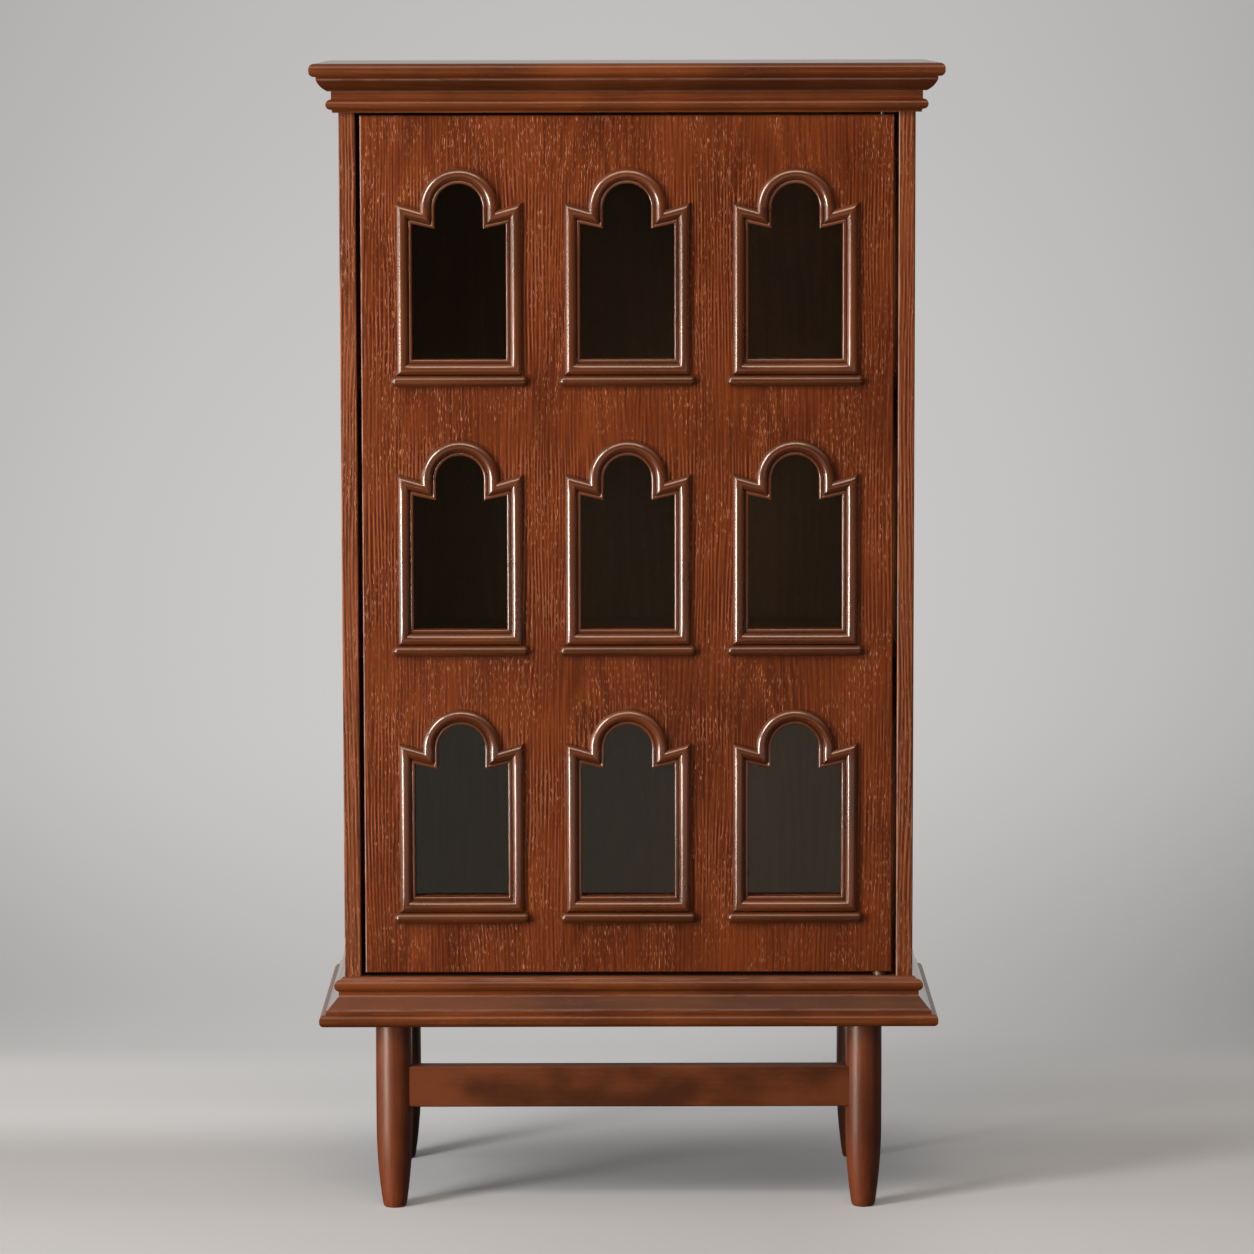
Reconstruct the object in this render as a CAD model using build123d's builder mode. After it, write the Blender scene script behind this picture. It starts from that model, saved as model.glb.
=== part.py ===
from build123d import *
from math import cos, hypot, radians, tan
import os

# Nine-light arched cabinet on turned legs, with one pivot-hung glazed door.
# Millimetres, +Z up, the front towards -Y. The origin is on the floor, under
# the middle of the cabinet's bounding box.

os.makedirs("parts", exist_ok=True)

# ---------------------------------------------------------------- dimensions
# Carcass
carcass_width = 694.5
carcass_depth = 334.0
door_opening_height = 1053.0
side_thickness = 20.0
panel_thickness = 18.0
back_thickness = 6.0
back_rebate_width = 10.0
arris = 1.2

# Shelves on pins
shelf_thickness = 18.0
shelf_setback = 34.0
shelf_drop = 22.0
shelf_pin_diameter = 5.0
shelf_pin_grip = 8.0
shelf_pin_depth = 10.0
shelf_pin_inset = 45.0

# Crown: a bullnosed board over a stepped moulding
crown_board_thickness = 16.0
crown_board_overhang = 33.75
crown_bullnose_radius = 6.6
cornice_out = 25.5
cornice_lip = 3.5
ovolo_height = 13.8
ovolo_foot_out = 12.2
ovolo_bulge_height = 1.8
crown_neck_out = 8.2
crown_neck_height = 9.8
crown_bead_out = 14.6
crown_bead_height = 12.3
crown_skirt_out = 6.9
crown_skirt_height = 3.6

# Base: a stepped moulding over a bullnosed board
base_board_thickness = 15.0
base_board_overhang = 30.5
base_bullnose_radius = 6.2
base_lip_out = 2.2
base_shoulder_out = 5.2
base_shoulder_drop = 3.0
base_bead_out = 12.7
base_bead_height = 14.5
base_neck_out = 7.5
base_neck_height = 5.8
base_flare_out = 20.8
base_flare_height = 15.2
base_fillet_step = 1.7
base_fillet_height = 5.0

# Legs and rail
leg_height = 229.5
leg_diameter = 44.5
leg_front_setback = 9.0
leg_back_inset = 39.5
leg_side_inset = 89.5
leg_taper_height = 105.0
foot_diameter = 28.2
foot_round = 2.6
rail_bottom = 126.0
rail_height = 50.0
rail_thickness = 25.0
tenon_height = 34.0
tenon_thickness = 12.0
tenon_length = 16.0

# Leg fixings
leg_block_size = 76.0
bolt_diameter = 8.0
bolt_depth_in_leg = 32.0
insert_diameter = 11.0
insert_length = 14.0

# Door
door_thickness = 22.0
door_side_gap = 5.5
door_top_gap = 3.3
door_bottom_gap = 4.7

# Windows: rows and columns of keyhole arches, spread evenly over the door. The
# outer edge of a moulding keeps a straight land at each shoulder and neck.
rows = ("bottom", "middle", "top")
columns = ("left", "centre", "right")
window_bottom_margin = 94.1
window_top_margin = 82.2
window_side_margin = 61.85
window_shoulder_height = 163.5
shoulder_angle = 12.2
shoulder_land = 5.2
neck_land = 2.0
arch_radius = 29.0

# Window mouldings and sills
moulding_width = 18.7
moulding_edge_height = 1.0
moulding_strip_width = 4.2
moulding_strip_height = 2.8
moulding_groove_width = 4.8
moulding_groove_height = 1.8
moulding_bead_height = 8.2
sill_overhang = 7.6
sill_height = 13.5
sill_projection = 9.5
sill_land = 1.5
sill_gap = 0.6

# Glazing
glass_thickness = 4.0
glass_margin = 9.0
glass_clearance = 0.6
glazing_bead_width = 8.0
glazing_bead_depth = 6.0

# Pivot hinges
pivot_inset = 14.0
pivot_pin_diameter = 6.0
pivot_pin_engagement = 8.0
pivot_plate_length = 60.0
pivot_plate_width = 14.0
pivot_plate_thickness = 3.0
pivot_plate_end = 10.0
pivot_pin_end_gap = 1.0
bush_diameter = 10.0
bush_flange_diameter = 16.0

# Push latch under the top panel
latch_inset = 60.0
latch_width = 16.0
latch_height = 16.0
latch_length = 40.0
latch_ear = 10.0
latch_ear_thickness = 3.0
latch_travel = 3.0
latch_press_gap = 0.4
plunger_diameter = 8.0
plunger_nose_length = 18.0
plunger_tail_diameter = 3.6
plunger_tail_length = 9.0
spring_radius = 3.0
spring_wire = 0.8
spring_pitch = 1.6
strike_width = 26.0
strike_height = 9.0

# Dowels and screws
dowel_diameter = 8.0
dowel_in_side = 12.0
dowel_in_panel = 18.0
dowel_in_board = 9.0
dowel_inset = 45.0
dowels_per_edge = 3
screw_diameter = 3.0
screw_length = 18.0
strike_screw_length = 9.0
screw_head_diameter = 6.0
screw_head_height = 1.6
screw_inset = 45.0
plate_screw_inset = 8.0
strike_screw_inset = 4.0
back_screws_per_side = 5
back_screws_per_panel = 3

# Fits
running_fit = 0.05
sliding_fit = 0.1
glue_gap = 0.1

# ------------------------------------------------------- levels and positions
crown_moulding_height = (
    cornice_lip + ovolo_height + crown_neck_height + crown_bead_height + crown_skirt_height
)
base_moulding_height = (
    base_shoulder_drop
    + base_bead_height
    + base_neck_height
    + base_flare_height
    + base_fillet_height
)
base_board_top = leg_height + base_board_thickness
base_top = base_board_top + base_moulding_height
door_opening_top = base_top + door_opening_height
crown_board_bottom = door_opening_top + crown_moulding_height
carcass_height = crown_board_bottom - base_board_top

front_overhang = max(crown_board_overhang, base_board_overhang)
carcass_front = front_overhang - (carcass_depth + front_overhang) / 2
carcass_back = carcass_front + carcass_depth
panel_back = carcass_back - back_thickness
inner_width = carcass_width - 2 * side_thickness
side_x = (carcass_width - side_thickness) / 2

door_width = inner_width - 2 * door_side_gap
door_height = door_opening_height - door_top_gap - door_bottom_gap
door_bottom = base_top + door_bottom_gap
door_top = door_bottom + door_height
door_back = carcass_front + door_thickness

neck_mitre = moulding_width * tan(radians(90 + shoulder_angle) / 2)
shoulder_run = (neck_mitre + shoulder_land) * cos(radians(shoulder_angle))
window_half_width = arch_radius + shoulder_run
window_tip_height = window_shoulder_height - shoulder_run * tan(radians(shoulder_angle))
arch_centre_height = window_tip_height + neck_mitre + neck_land
window_height = arch_centre_height + arch_radius
sill_length = 2 * (window_half_width + moulding_width + sill_overhang)
outer_column = door_width / 2 - window_side_margin - window_half_width
window_column_pitch = 2 * outer_column / (len(columns) - 1)
lowest_window = door_bottom + window_bottom_margin
highest_window = door_top - window_top_margin - window_height
window_row_pitch = (highest_window - lowest_window) / (len(rows) - 1)
window_sites = [
    (
        f"{row}_{column}",
        j * window_column_pitch - outer_column,
        lowest_window + i * window_row_pitch,
    )
    for i, row in enumerate(rows)
    for j, column in enumerate(columns)
]

shelf_front = carcass_front + shelf_setback
shelf_tops = {
    "lower_shelf": lowest_window + window_row_pitch - shelf_drop,
    "upper_shelf": lowest_window + 2 * window_row_pitch - shelf_drop,
}

leg_x = carcass_width / 2 + base_board_overhang - leg_side_inset
front_leg_y = carcass_front + leg_front_setback
rear_leg_y = carcass_back - leg_back_inset
leg_sites = {
    "front_left_leg": (-leg_x, front_leg_y),
    "front_right_leg": (leg_x, front_leg_y),
    "rear_left_leg": (-leg_x, rear_leg_y),
    "rear_right_leg": (leg_x, rear_leg_y),
}

pivot_x = door_width / 2 - pivot_inset
pivot_y = carcass_front + door_thickness / 2
plate_far_end = pivot_x + pivot_plate_end - pivot_plate_length
bush_depth = pivot_pin_engagement + pivot_pin_end_gap

latch_x = latch_inset - inner_width / 2
latch_z = door_opening_top - latch_height / 2
strike_thickness = screw_head_height
latch_front = door_back + strike_thickness + latch_travel + latch_press_gap

# Outward directions
right, left = (1, 0, 0), (-1, 0, 0)
back, front = (0, 1, 0), (0, -1, 0)
up, down = (0, 0, 1), (0, 0, -1)
sides = ((-1, right, left), (1, left, right))


# ------------------------------------------------- holes, screws and their sites
def spread(first, last, count):
    """Evenly spaced values, the first and the last among them."""
    return [first + (last - first) * i / (count - 1) for i in range(count)]


def sites(points, outward):
    """Planes at points of a face, each with its normal pointing out of that face."""
    return [Plane(origin=point, z_dir=outward) for point in points]


def bore(points, outward, radius, depth):
    """Blind holes in the current part, drilled inwards from points of a face."""
    with Locations(*sites(points, outward)):
        Hole(radius, depth)


def countersink(points, outward, depth):
    """Screw holes with a countersink, through the current part."""
    with Locations(*sites(points, outward)):
        CounterSinkHole(
            screw_diameter / 2 + running_fit, screw_head_diameter / 2 + running_fit, depth
        )


def screw(length):
    """Countersunk screw with its head's face at the origin and its shank along -Z."""
    with BuildSketch(Plane.XZ) as half:
        with BuildLine():
            Polyline(
                (0, 0),
                (screw_head_diameter / 2, 0),
                (screw_diameter / 2, -screw_head_height),
                (screw_diameter / 2, -length + screw_diameter),
                (0, -length),
                close=True,
            )
        make_face()
    return revolve(half.sketch, axis=Axis.Z, mode=Mode.PRIVATE)


top_panel_mid = door_opening_top + panel_thickness / 2
bottom_panel_mid = base_top - panel_thickness / 2
dowel_ys = spread(carcass_front + dowel_inset, panel_back - dowel_inset, dowels_per_edge)
dowel_hole = dowel_diameter / 2 + running_fit
pilot_hole = screw_diameter / 2 + running_fit
bush_hole = bush_diameter / 2 + running_fit

shelf_pin_sites = [
    (y, top - shelf_thickness - shelf_pin_diameter / 2 - running_fit)
    for y in (shelf_front + shelf_pin_inset, panel_back - shelf_pin_inset)
    for top in shelf_tops.values()
]
back_screw_x = (inner_width + back_rebate_width) / 2
back_screw_zs = spread(
    base_board_top + screw_inset, crown_board_bottom - screw_inset, back_screws_per_side
)
back_screw_xs = spread(
    3 * screw_inset - inner_width / 2, inner_width / 2 - 3 * screw_inset, back_screws_per_panel
)
plate_screw_far = plate_far_end + plate_screw_inset
plate_screw_xs = (plate_screw_far, (plate_screw_far + pivot_x) / 2)
latch_screw_points = [
    (
        latch_x + side * (latch_width + latch_ear) / 2,
        latch_front + latch_length / 2,
        door_opening_top - latch_ear_thickness,
    )
    for side in (-1, 1)
]
strike_screw_points = [
    (latch_x + side * (strike_width / 2 - strike_screw_inset), door_back + strike_thickness, latch_z)
    for side in (-1, 1)
]

# -------------------------------------------------------------- side panels
for side, inwards, outwards in sides:
    inner_face = side * inner_width / 2
    with BuildPart() as side_panel:
        with BuildSketch(Plane.XY.offset(base_board_top)):
            with Locations((side * side_x, carcass_front + carcass_depth / 2)):
                Rectangle(side_thickness, carcass_depth)
            with Locations((side * back_screw_x, carcass_back - back_thickness / 2)):
                Rectangle(back_rebate_width, back_thickness, mode=Mode.SUBTRACT)
        extrude(amount=carcass_height)
        chamfer(side_panel.edges().filter_by(Axis.Z).group_by(Axis.Y)[0], length=arris)
        pin_points = [(inner_face, y, z) for y, z in shelf_pin_sites]
        bore(pin_points, inwards, shelf_pin_diameter / 2 + running_fit, shelf_pin_depth)
        dowel_points = [
            (inner_face, y, z) for y in dowel_ys for z in (top_panel_mid, bottom_panel_mid)
        ]
        bore(dowel_points, inwards, dowel_hole, dowel_in_side)
        for level, outward in ((base_board_top, down), (crown_board_bottom, up)):
            end_points = [(side * side_x, y, level) for y in dowel_ys]
            bore(end_points, outward, dowel_hole, dowel_in_panel)
        screw_points = [(side * back_screw_x, panel_back, z) for z in back_screw_zs]
        bore(screw_points, back, pilot_hole, screw_length - back_thickness)
    node = "left_side_panel" if side < 0 else "right_side_panel"
    side_panel.part.label = node
    export_step(side_panel.part, f"parts/{node}.step")

# ------------------------------------------------- top, bottom and back panels
for node, mid, inner_level, inwards in (
    ("top_panel", top_panel_mid, door_opening_top, down),
    ("bottom_panel", bottom_panel_mid, base_top, up),
):
    with BuildPart() as panel:
        with Locations((0, (carcass_front + panel_back) / 2, mid)):
            Box(inner_width, panel_back - carcass_front, panel_thickness)
        for side, _, outwards in sides:
            end_points = [(side * inner_width / 2, y, mid) for y in dowel_ys]
            bore(end_points, outwards, dowel_hole, dowel_in_panel)
        bore([(pivot_x, pivot_y, inner_level)], inwards, bush_hole, bush_depth)
        screw_points = [(x, panel_back, mid) for x in back_screw_xs]
        bore(screw_points, back, pilot_hole, screw_length - back_thickness)
        if node == "top_panel":
            ear_points = [(x, y, door_opening_top) for x, y, _ in latch_screw_points]
            bore(ear_points, down, pilot_hole, screw_length - latch_ear_thickness)
    panel.part.label = node
    export_step(panel.part, f"parts/{node}.step")

back_screw_points = [
    (side * back_screw_x, carcass_back, z) for side in (-1, 1) for z in back_screw_zs
] + [(x, carcass_back, z) for x in back_screw_xs for z in (top_panel_mid, bottom_panel_mid)]

with BuildPart() as back_panel:
    with Locations((0, carcass_back - back_thickness / 2, base_board_top + carcass_height / 2)):
        Box(inner_width + 2 * (back_rebate_width - glue_gap), back_thickness, carcass_height)
    countersink(back_screw_points, back, back_thickness)
back_panel.part.label = "back_panel"
export_step(back_panel.part, "parts/back_panel.step")

# ------------------------------------------------------------------- shelves
for node, top in shelf_tops.items():
    with BuildPart() as shelf:
        with Locations((0, (shelf_front + panel_back) / 2, top - shelf_thickness / 2)):
            Box(inner_width - 2 * glue_gap, panel_back - shelf_front, shelf_thickness)
        fillet(shelf.edges().filter_by(Axis.X).group_by(Axis.Y)[0], radius=arris)
    shelf.part.label = node
    export_step(shelf.part, f"parts/{node}.step")

with BuildPart() as shelf_pins:
    for side, inwards, outwards in sides:
        bore_ends = [
            (side * (inner_width / 2 + shelf_pin_depth), y, z) for y, z in shelf_pin_sites
        ]
        with Locations(*sites(bore_ends, inwards)):
            Cylinder(
                shelf_pin_diameter / 2,
                shelf_pin_depth + shelf_pin_grip,
                align=(Align.CENTER, Align.CENTER, Align.MIN),
            )
shelf_pins.part.label = "shelf_pins"
export_step(shelf_pins.part, "parts/shelf_pins.step")


# --------------------------------------------------- crown board, base board
def bullnosed_board(overhang, bottom, thickness, radius):
    """Board that overhangs the carcass in front and at both sides, its edges rounded."""
    depth = carcass_depth + overhang
    with BuildPart() as board:
        with Locations((0, carcass_back - depth / 2, bottom + thickness / 2)):
            Box(carcass_width + 2 * overhang, depth, thickness)
        level_edges = board.edges().filter_by(Axis.Z, reverse=True)
        fillet(level_edges - level_edges.group_by(Axis.Y)[-1], radius=radius)
    return board.part


for node, overhang, bottom, thickness, radius, joint_level, joint_face in (
    (
        "crown_board",
        crown_board_overhang,
        crown_board_bottom,
        crown_board_thickness,
        crown_bullnose_radius,
        crown_board_bottom,
        down,
    ),
    (
        "base_board",
        base_board_overhang,
        leg_height,
        base_board_thickness,
        base_bullnose_radius,
        base_board_top,
        up,
    ),
):
    with BuildPart() as board:
        add(bullnosed_board(overhang, bottom, thickness, radius))
        dowel_points = [(side * side_x, y, joint_level) for side in (-1, 1) for y in dowel_ys]
        bore(dowel_points, joint_face, dowel_hole, dowel_in_board)
        if node == "base_board":
            bolt_points = [(x, y, leg_height) for x, y in leg_sites.values()]
            bore(bolt_points, down, bolt_diameter / 2 + sliding_fit, base_board_thickness)
    board.part.label = node
    export_step(board.part, f"parts/{node}.step")


# ---------------------------------------------- crown moulding, base moulding
def crown_section():
    """Crown moulding in section: x outwards from the carcass, y up from its foot."""
    lip_bottom = crown_moulding_height - cornice_lip
    ovolo_bottom = lip_bottom - ovolo_height
    bead_bottom = crown_skirt_height
    bead_top = bead_bottom + crown_bead_height
    ovolo_width = cornice_out - ovolo_foot_out
    ovolo_chord = hypot(ovolo_width, ovolo_height)
    ovolo_middle = (
        ovolo_foot_out + ovolo_width / 2 + ovolo_bulge_height * ovolo_height / ovolo_chord,
        ovolo_bottom + ovolo_height / 2 - ovolo_bulge_height * ovolo_width / ovolo_chord,
    )
    with BuildSketch() as section:
        with BuildLine():
            Polyline(
                (ovolo_foot_out, ovolo_bottom),
                (crown_neck_out, ovolo_bottom),
                (crown_neck_out, bead_top),
            )
            ThreePointArc(
                (crown_neck_out, bead_top),
                (crown_bead_out, (bead_top + bead_bottom) / 2),
                (crown_neck_out, bead_bottom),
            )
            Polyline(
                (crown_neck_out, bead_bottom),
                (crown_skirt_out, crown_skirt_height / 2),
                (crown_skirt_out, 0),
                (0, 0),
                (0, crown_moulding_height),
                (cornice_out, crown_moulding_height),
                (cornice_out, lip_bottom),
            )
            ThreePointArc(
                (cornice_out, lip_bottom), ovolo_middle, (ovolo_foot_out, ovolo_bottom)
            )
        make_face()
    return section.sketch


def base_section():
    """Base moulding in section: x outwards from the carcass, y up from its foot."""
    bead_top = base_moulding_height - base_shoulder_drop
    bead_bottom = bead_top - base_bead_height
    neck_bottom = bead_bottom - base_neck_height
    fillet_out = base_flare_out + base_fillet_step
    with BuildSketch() as section:
        with BuildLine():
            Polyline(
                (0, 0),
                (0, base_moulding_height),
                (base_lip_out, base_moulding_height),
                (base_shoulder_out, bead_top),
                (base_neck_out, bead_top),
            )
            ThreePointArc(
                (base_neck_out, bead_top),
                (base_bead_out, (bead_top + bead_bottom) / 2),
                (base_neck_out, bead_bottom),
            )
            Polyline(
                (base_neck_out, bead_bottom),
                (base_neck_out, neck_bottom),
                (base_flare_out, base_fillet_height),
                (fillet_out, base_fillet_height),
                (fillet_out, 0),
                (0, 0),
            )
        make_face()
    return section.sketch


left_mitre = Plane(
    origin=(-carcass_width / 2, carcass_front, 0), x_dir=(0, 0, 1), z_dir=(1, -1, 0)
)
right_mitre = Plane(
    origin=(carcass_width / 2, carcass_front, 0), x_dir=(0, 0, 1), z_dir=(-1, -1, 0)
)
for family, section, foot in (
    ("crown", crown_section, door_opening_top),
    ("base", base_section, base_board_top),
):
    front_profile = Plane(origin=(0, carcass_front, foot), x_dir=front, z_dir=left)
    with BuildPart() as front_moulding:
        with BuildSketch(front_profile):
            add(section())
        extrude(amount=carcass_width / 2 + front_overhang, both=True)
        split(bisect_by=left_mitre, keep=Keep.TOP)
        split(bisect_by=right_mitre, keep=Keep.TOP)
    front_moulding.part.label = f"{family}_moulding_front"
    export_step(front_moulding.part, f"parts/{family}_moulding_front.step")

    for word, corner_x, outwards, along, mitre in (
        ("left", -carcass_width / 2, left, back, left_mitre),
        ("right", carcass_width / 2, right, front, right_mitre),
    ):
        side_profile = Plane(origin=(corner_x, carcass_back, foot), x_dir=outwards, z_dir=along)
        forwards = carcass_depth + front_overhang
        with BuildPart() as side_moulding:
            with BuildSketch(side_profile):
                add(section())
            extrude(amount=forwards if along == front else -forwards)
            split(bisect_by=mitre, keep=Keep.BOTTOM)
        side_moulding.part.label = f"{family}_moulding_{word}"
        export_step(side_moulding.part, f"parts/{family}_moulding_{word}.step")

# --------------------------------------------------------------------- legs
rail_middle = (0, front_leg_y, rail_bottom + rail_height / 2)
tenon_ends = 2 * (leg_x - leg_diameter / 2 + tenon_length)
taper_in = (leg_diameter - foot_diameter) / 2
taper_radius = (leg_taper_height**2 + taper_in**2) / (2 * taper_in)
for node, (x, y) in leg_sites.items():
    with BuildPart() as leg:
        with BuildSketch(Plane(origin=(x, y, 0), x_dir=right, z_dir=front)):
            with BuildLine():
                Polyline(
                    (foot_diameter / 2, 0),
                    (0, 0),
                    (0, leg_height),
                    (leg_diameter / 2, leg_height),
                    (leg_diameter / 2, leg_taper_height),
                )
                RadiusArc(
                    (leg_diameter / 2, leg_taper_height), (foot_diameter / 2, 0), taper_radius
                )
            make_face()
        revolve(axis=Axis((x, y, 0), up))
        fillet(leg.edges().filter_by(GeomType.CIRCLE).sort_by(Axis.Z)[0], radius=foot_round)
        bore([(x, y, leg_height)], up, bolt_diameter / 2 + running_fit, bolt_depth_in_leg)
        if y == front_leg_y:
            with Locations(rail_middle):
                Box(
                    tenon_ends + 2 * glue_gap,
                    tenon_thickness + 2 * glue_gap,
                    tenon_height + 2 * glue_gap,
                    mode=Mode.SUBTRACT,
                )
    leg.part.label = node
    export_step(leg.part, f"parts/{node}.step")

# Rail between the front legs: ends scribed to the round legs, and tenoned into them
with BuildPart() as front_rail:
    with Locations(rail_middle):
        Box(2 * leg_x, rail_thickness, rail_height)
    with Locations((-leg_x, *rail_middle[1:]), (leg_x, *rail_middle[1:])):
        Cylinder(leg_diameter / 2 + glue_gap, rail_height, mode=Mode.SUBTRACT)
    chamfer(front_rail.edges().filter_by(Axis.X), length=arris)
    with Locations(rail_middle):
        Box(tenon_ends, tenon_thickness, tenon_height)
front_rail.part.label = "front_rail"
export_step(front_rail.part, "parts/front_rail.step")

# ------------------------------------------------------------- leg fixings
block_x = (inner_width - leg_block_size) / 2
block_ys = (carcass_front + leg_block_size / 2, panel_back - leg_block_size / 2)
with BuildPart() as leg_blocks:
    with BuildSketch(Plane.XY.offset(base_board_top)):
        with Locations(*[(side * block_x, y) for side in (-1, 1) for y in block_ys]):
            Rectangle(leg_block_size, leg_block_size)
        with Locations(*leg_sites.values()):
            Circle(insert_diameter / 2 + glue_gap, mode=Mode.SUBTRACT)
    extrude(amount=base_moulding_height - panel_thickness)
leg_blocks.part.label = "leg_blocks"
export_step(leg_blocks.part, "parts/leg_blocks.step")

with BuildPart() as leg_inserts:
    with BuildSketch(Plane.XY.offset(base_board_top)):
        with Locations(*leg_sites.values()):
            Circle(insert_diameter / 2)
            Circle(bolt_diameter / 2 + running_fit, mode=Mode.SUBTRACT)
    extrude(amount=insert_length)
leg_inserts.part.label = "leg_inserts"
export_step(leg_inserts.part, "parts/leg_inserts.step")

with BuildPart() as hanger_bolts:
    with BuildSketch(Plane.XY.offset(leg_height - bolt_depth_in_leg)):
        with Locations(*leg_sites.values()):
            Circle(bolt_diameter / 2)
    extrude(amount=bolt_depth_in_leg + base_board_thickness + insert_length)
hanger_bolts.part.label = "hanger_bolts"
export_step(hanger_bolts.part, "parts/hanger_bolts.step")

# -------------------------------------------------------- dowels and screws
with BuildPart() as case_dowels:
    for side, inwards, outwards in sides:
        hole_ends = [
            (side * (inner_width / 2 + dowel_in_side), y, z)
            for y in dowel_ys
            for z in (top_panel_mid, bottom_panel_mid)
        ]
        with Locations(*sites(hole_ends, inwards)):
            Cylinder(
                dowel_diameter / 2,
                dowel_in_side + dowel_in_panel,
                align=(Align.CENTER, Align.CENTER, Align.MIN),
            )
    for hole_end, inwards in (
        (crown_board_bottom + dowel_in_board, down),
        (base_board_top - dowel_in_board, up),
    ):
        end_points = [(side * side_x, y, hole_end) for side in (-1, 1) for y in dowel_ys]
        with Locations(*sites(end_points, inwards)):
            Cylinder(
                dowel_diameter / 2,
                dowel_in_board + dowel_in_panel,
                align=(Align.CENTER, Align.CENTER, Align.MIN),
            )
case_dowels.part.label = "case_dowels"
export_step(case_dowels.part, "parts/case_dowels.step")

long_screw = screw(screw_length)
with BuildPart() as case_screws:
    with Locations(*sites(back_screw_points, back), *sites(latch_screw_points, down)):
        add(long_screw)
case_screws.part.label = "case_screws"
export_step(case_screws.part, "parts/case_screws.step")

# --------------------------------------------------------------- door panel
door_face = Plane(origin=(0, carcass_front, 0), x_dir=right, z_dir=front)
door_rear = Plane(origin=(0, door_back, 0), x_dir=right, z_dir=front)


def window_outline(x, z):
    """Edge of one opening. x, z: the middle of its foot, on the door's face."""
    half_outline = [
        (0, 0),
        (window_half_width, 0),
        (window_half_width, window_shoulder_height),
        (arch_radius, window_tip_height),
        (arch_radius, arch_centre_height),
    ]
    Polyline(*[(x + out, z + height) for out, height in half_outline])
    ThreePointArc(
        (x + arch_radius, z + arch_centre_height),
        (x, z + window_height),
        (x - arch_radius, z + arch_centre_height),
    )
    Polyline(*[(x - out, z + height) for out, height in reversed(half_outline)])


rebate_width = 2 * (window_half_width + glass_margin)
rebate_height = window_height + 2 * glass_margin
rebate_depth = glass_thickness + glazing_bead_depth
rebate_middles = [(x, z + window_height / 2) for _, x, z in window_sites]
plate_middle = plate_far_end + pivot_plate_length / 2

with BuildPart() as door_panel:
    with BuildSketch(door_face):
        with Locations((0, door_bottom + door_height / 2)):
            Rectangle(door_width, door_height)
    extrude(amount=-door_thickness)
    chamfer(door_panel.faces().sort_by(Axis.Y)[0].edges(), length=arris)
    # An opening through the door, and a square rebate behind it for the glass
    for _, x, z in window_sites:
        with BuildSketch(door_face):
            with BuildLine():
                window_outline(x, z)
            make_face()
        extrude(amount=-door_thickness, mode=Mode.SUBTRACT)
    with BuildSketch(door_rear):
        with Locations(*rebate_middles):
            Rectangle(rebate_width, rebate_height)
    extrude(amount=rebate_depth, mode=Mode.SUBTRACT)
    # Slots in the top and bottom edges for the pivot plates
    for level, outward, sink in ((door_top, up, -1), (door_bottom, down, 1)):
        with Locations((plate_middle, pivot_y, level + sink * pivot_plate_thickness / 2)):
            Box(
                pivot_plate_length + 2 * glue_gap,
                pivot_plate_width + 2 * glue_gap,
                pivot_plate_thickness,
                mode=Mode.SUBTRACT,
            )
        screw_points = [(x, pivot_y, level) for x in plate_screw_xs]
        bore(screw_points, outward, pilot_hole, screw_length)
    bore(strike_screw_points, back, pilot_hole, strike_screw_length)
door_panel.part.label = "door_panel"
export_step(door_panel.part, "parts/door_panel.step")


# ------------------------------------------------ window mouldings and sills
def moulding_section():
    """Moulding in section: x away from the opening, y out from the door."""
    with BuildSketch() as section:
        with BuildLine():
            Polyline(
                (moulding_width, moulding_groove_height),
                (moulding_width, 0),
                (0, 0),
                (0, moulding_edge_height),
                (moulding_strip_width, moulding_strip_height),
                (moulding_groove_width, moulding_groove_height),
            )
            ThreePointArc(
                (moulding_groove_width, moulding_groove_height),
                ((moulding_groove_width + moulding_width) / 2, moulding_bead_height),
                (moulding_width, moulding_groove_height),
            )
        make_face()
    return section.sketch


for site, x, z in window_sites:
    with BuildPart() as window_moulding:
        with BuildLine(door_face) as opening_edge:
            window_outline(x, z)
        with BuildSketch(Plane(origin=(x, carcass_front, z), x_dir=down, z_dir=left)):
            add(moulding_section())
        sweep(path=opening_edge.wires()[0], transition=Transition.RIGHT)
    window_moulding.part.label = f"window_moulding_{site}"
    export_step(window_moulding.part, f"parts/window_moulding_{site}.step")

sill_drop = moulding_width + sill_gap + sill_height / 2
for row in rows:
    with BuildPart() as window_sills:
        with BuildSketch(door_face):
            sill_middles = [(x, z - sill_drop) for site, x, z in window_sites if row in site]
            with Locations(*sill_middles):
                SlotOverall(sill_length, sill_height)
        extrude(amount=sill_projection)
        front_faces = window_sills.faces().filter_by(Axis.Y).group_by(Axis.Y)[0]
        fillet(front_faces.edges(), radius=(sill_height - sill_land) / 2)
    window_sills.part.label = f"window_sills_{row}"
    export_step(window_sills.part, f"parts/window_sills_{row}.step")

# ---------------------------------------------------- glass and glazing beads
for (site, x, z), middle in zip(window_sites, rebate_middles):
    with BuildPart() as glass_pane:
        with BuildSketch(door_rear.offset(rebate_depth)):
            with Locations(middle):
                Rectangle(rebate_width - 2 * glass_clearance, rebate_height - 2 * glass_clearance)
        extrude(amount=-glass_thickness)
    glass_pane.part.label = f"glass_pane_{site}"
    export_step(glass_pane.part, f"parts/glass_pane_{site}.step")

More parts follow.
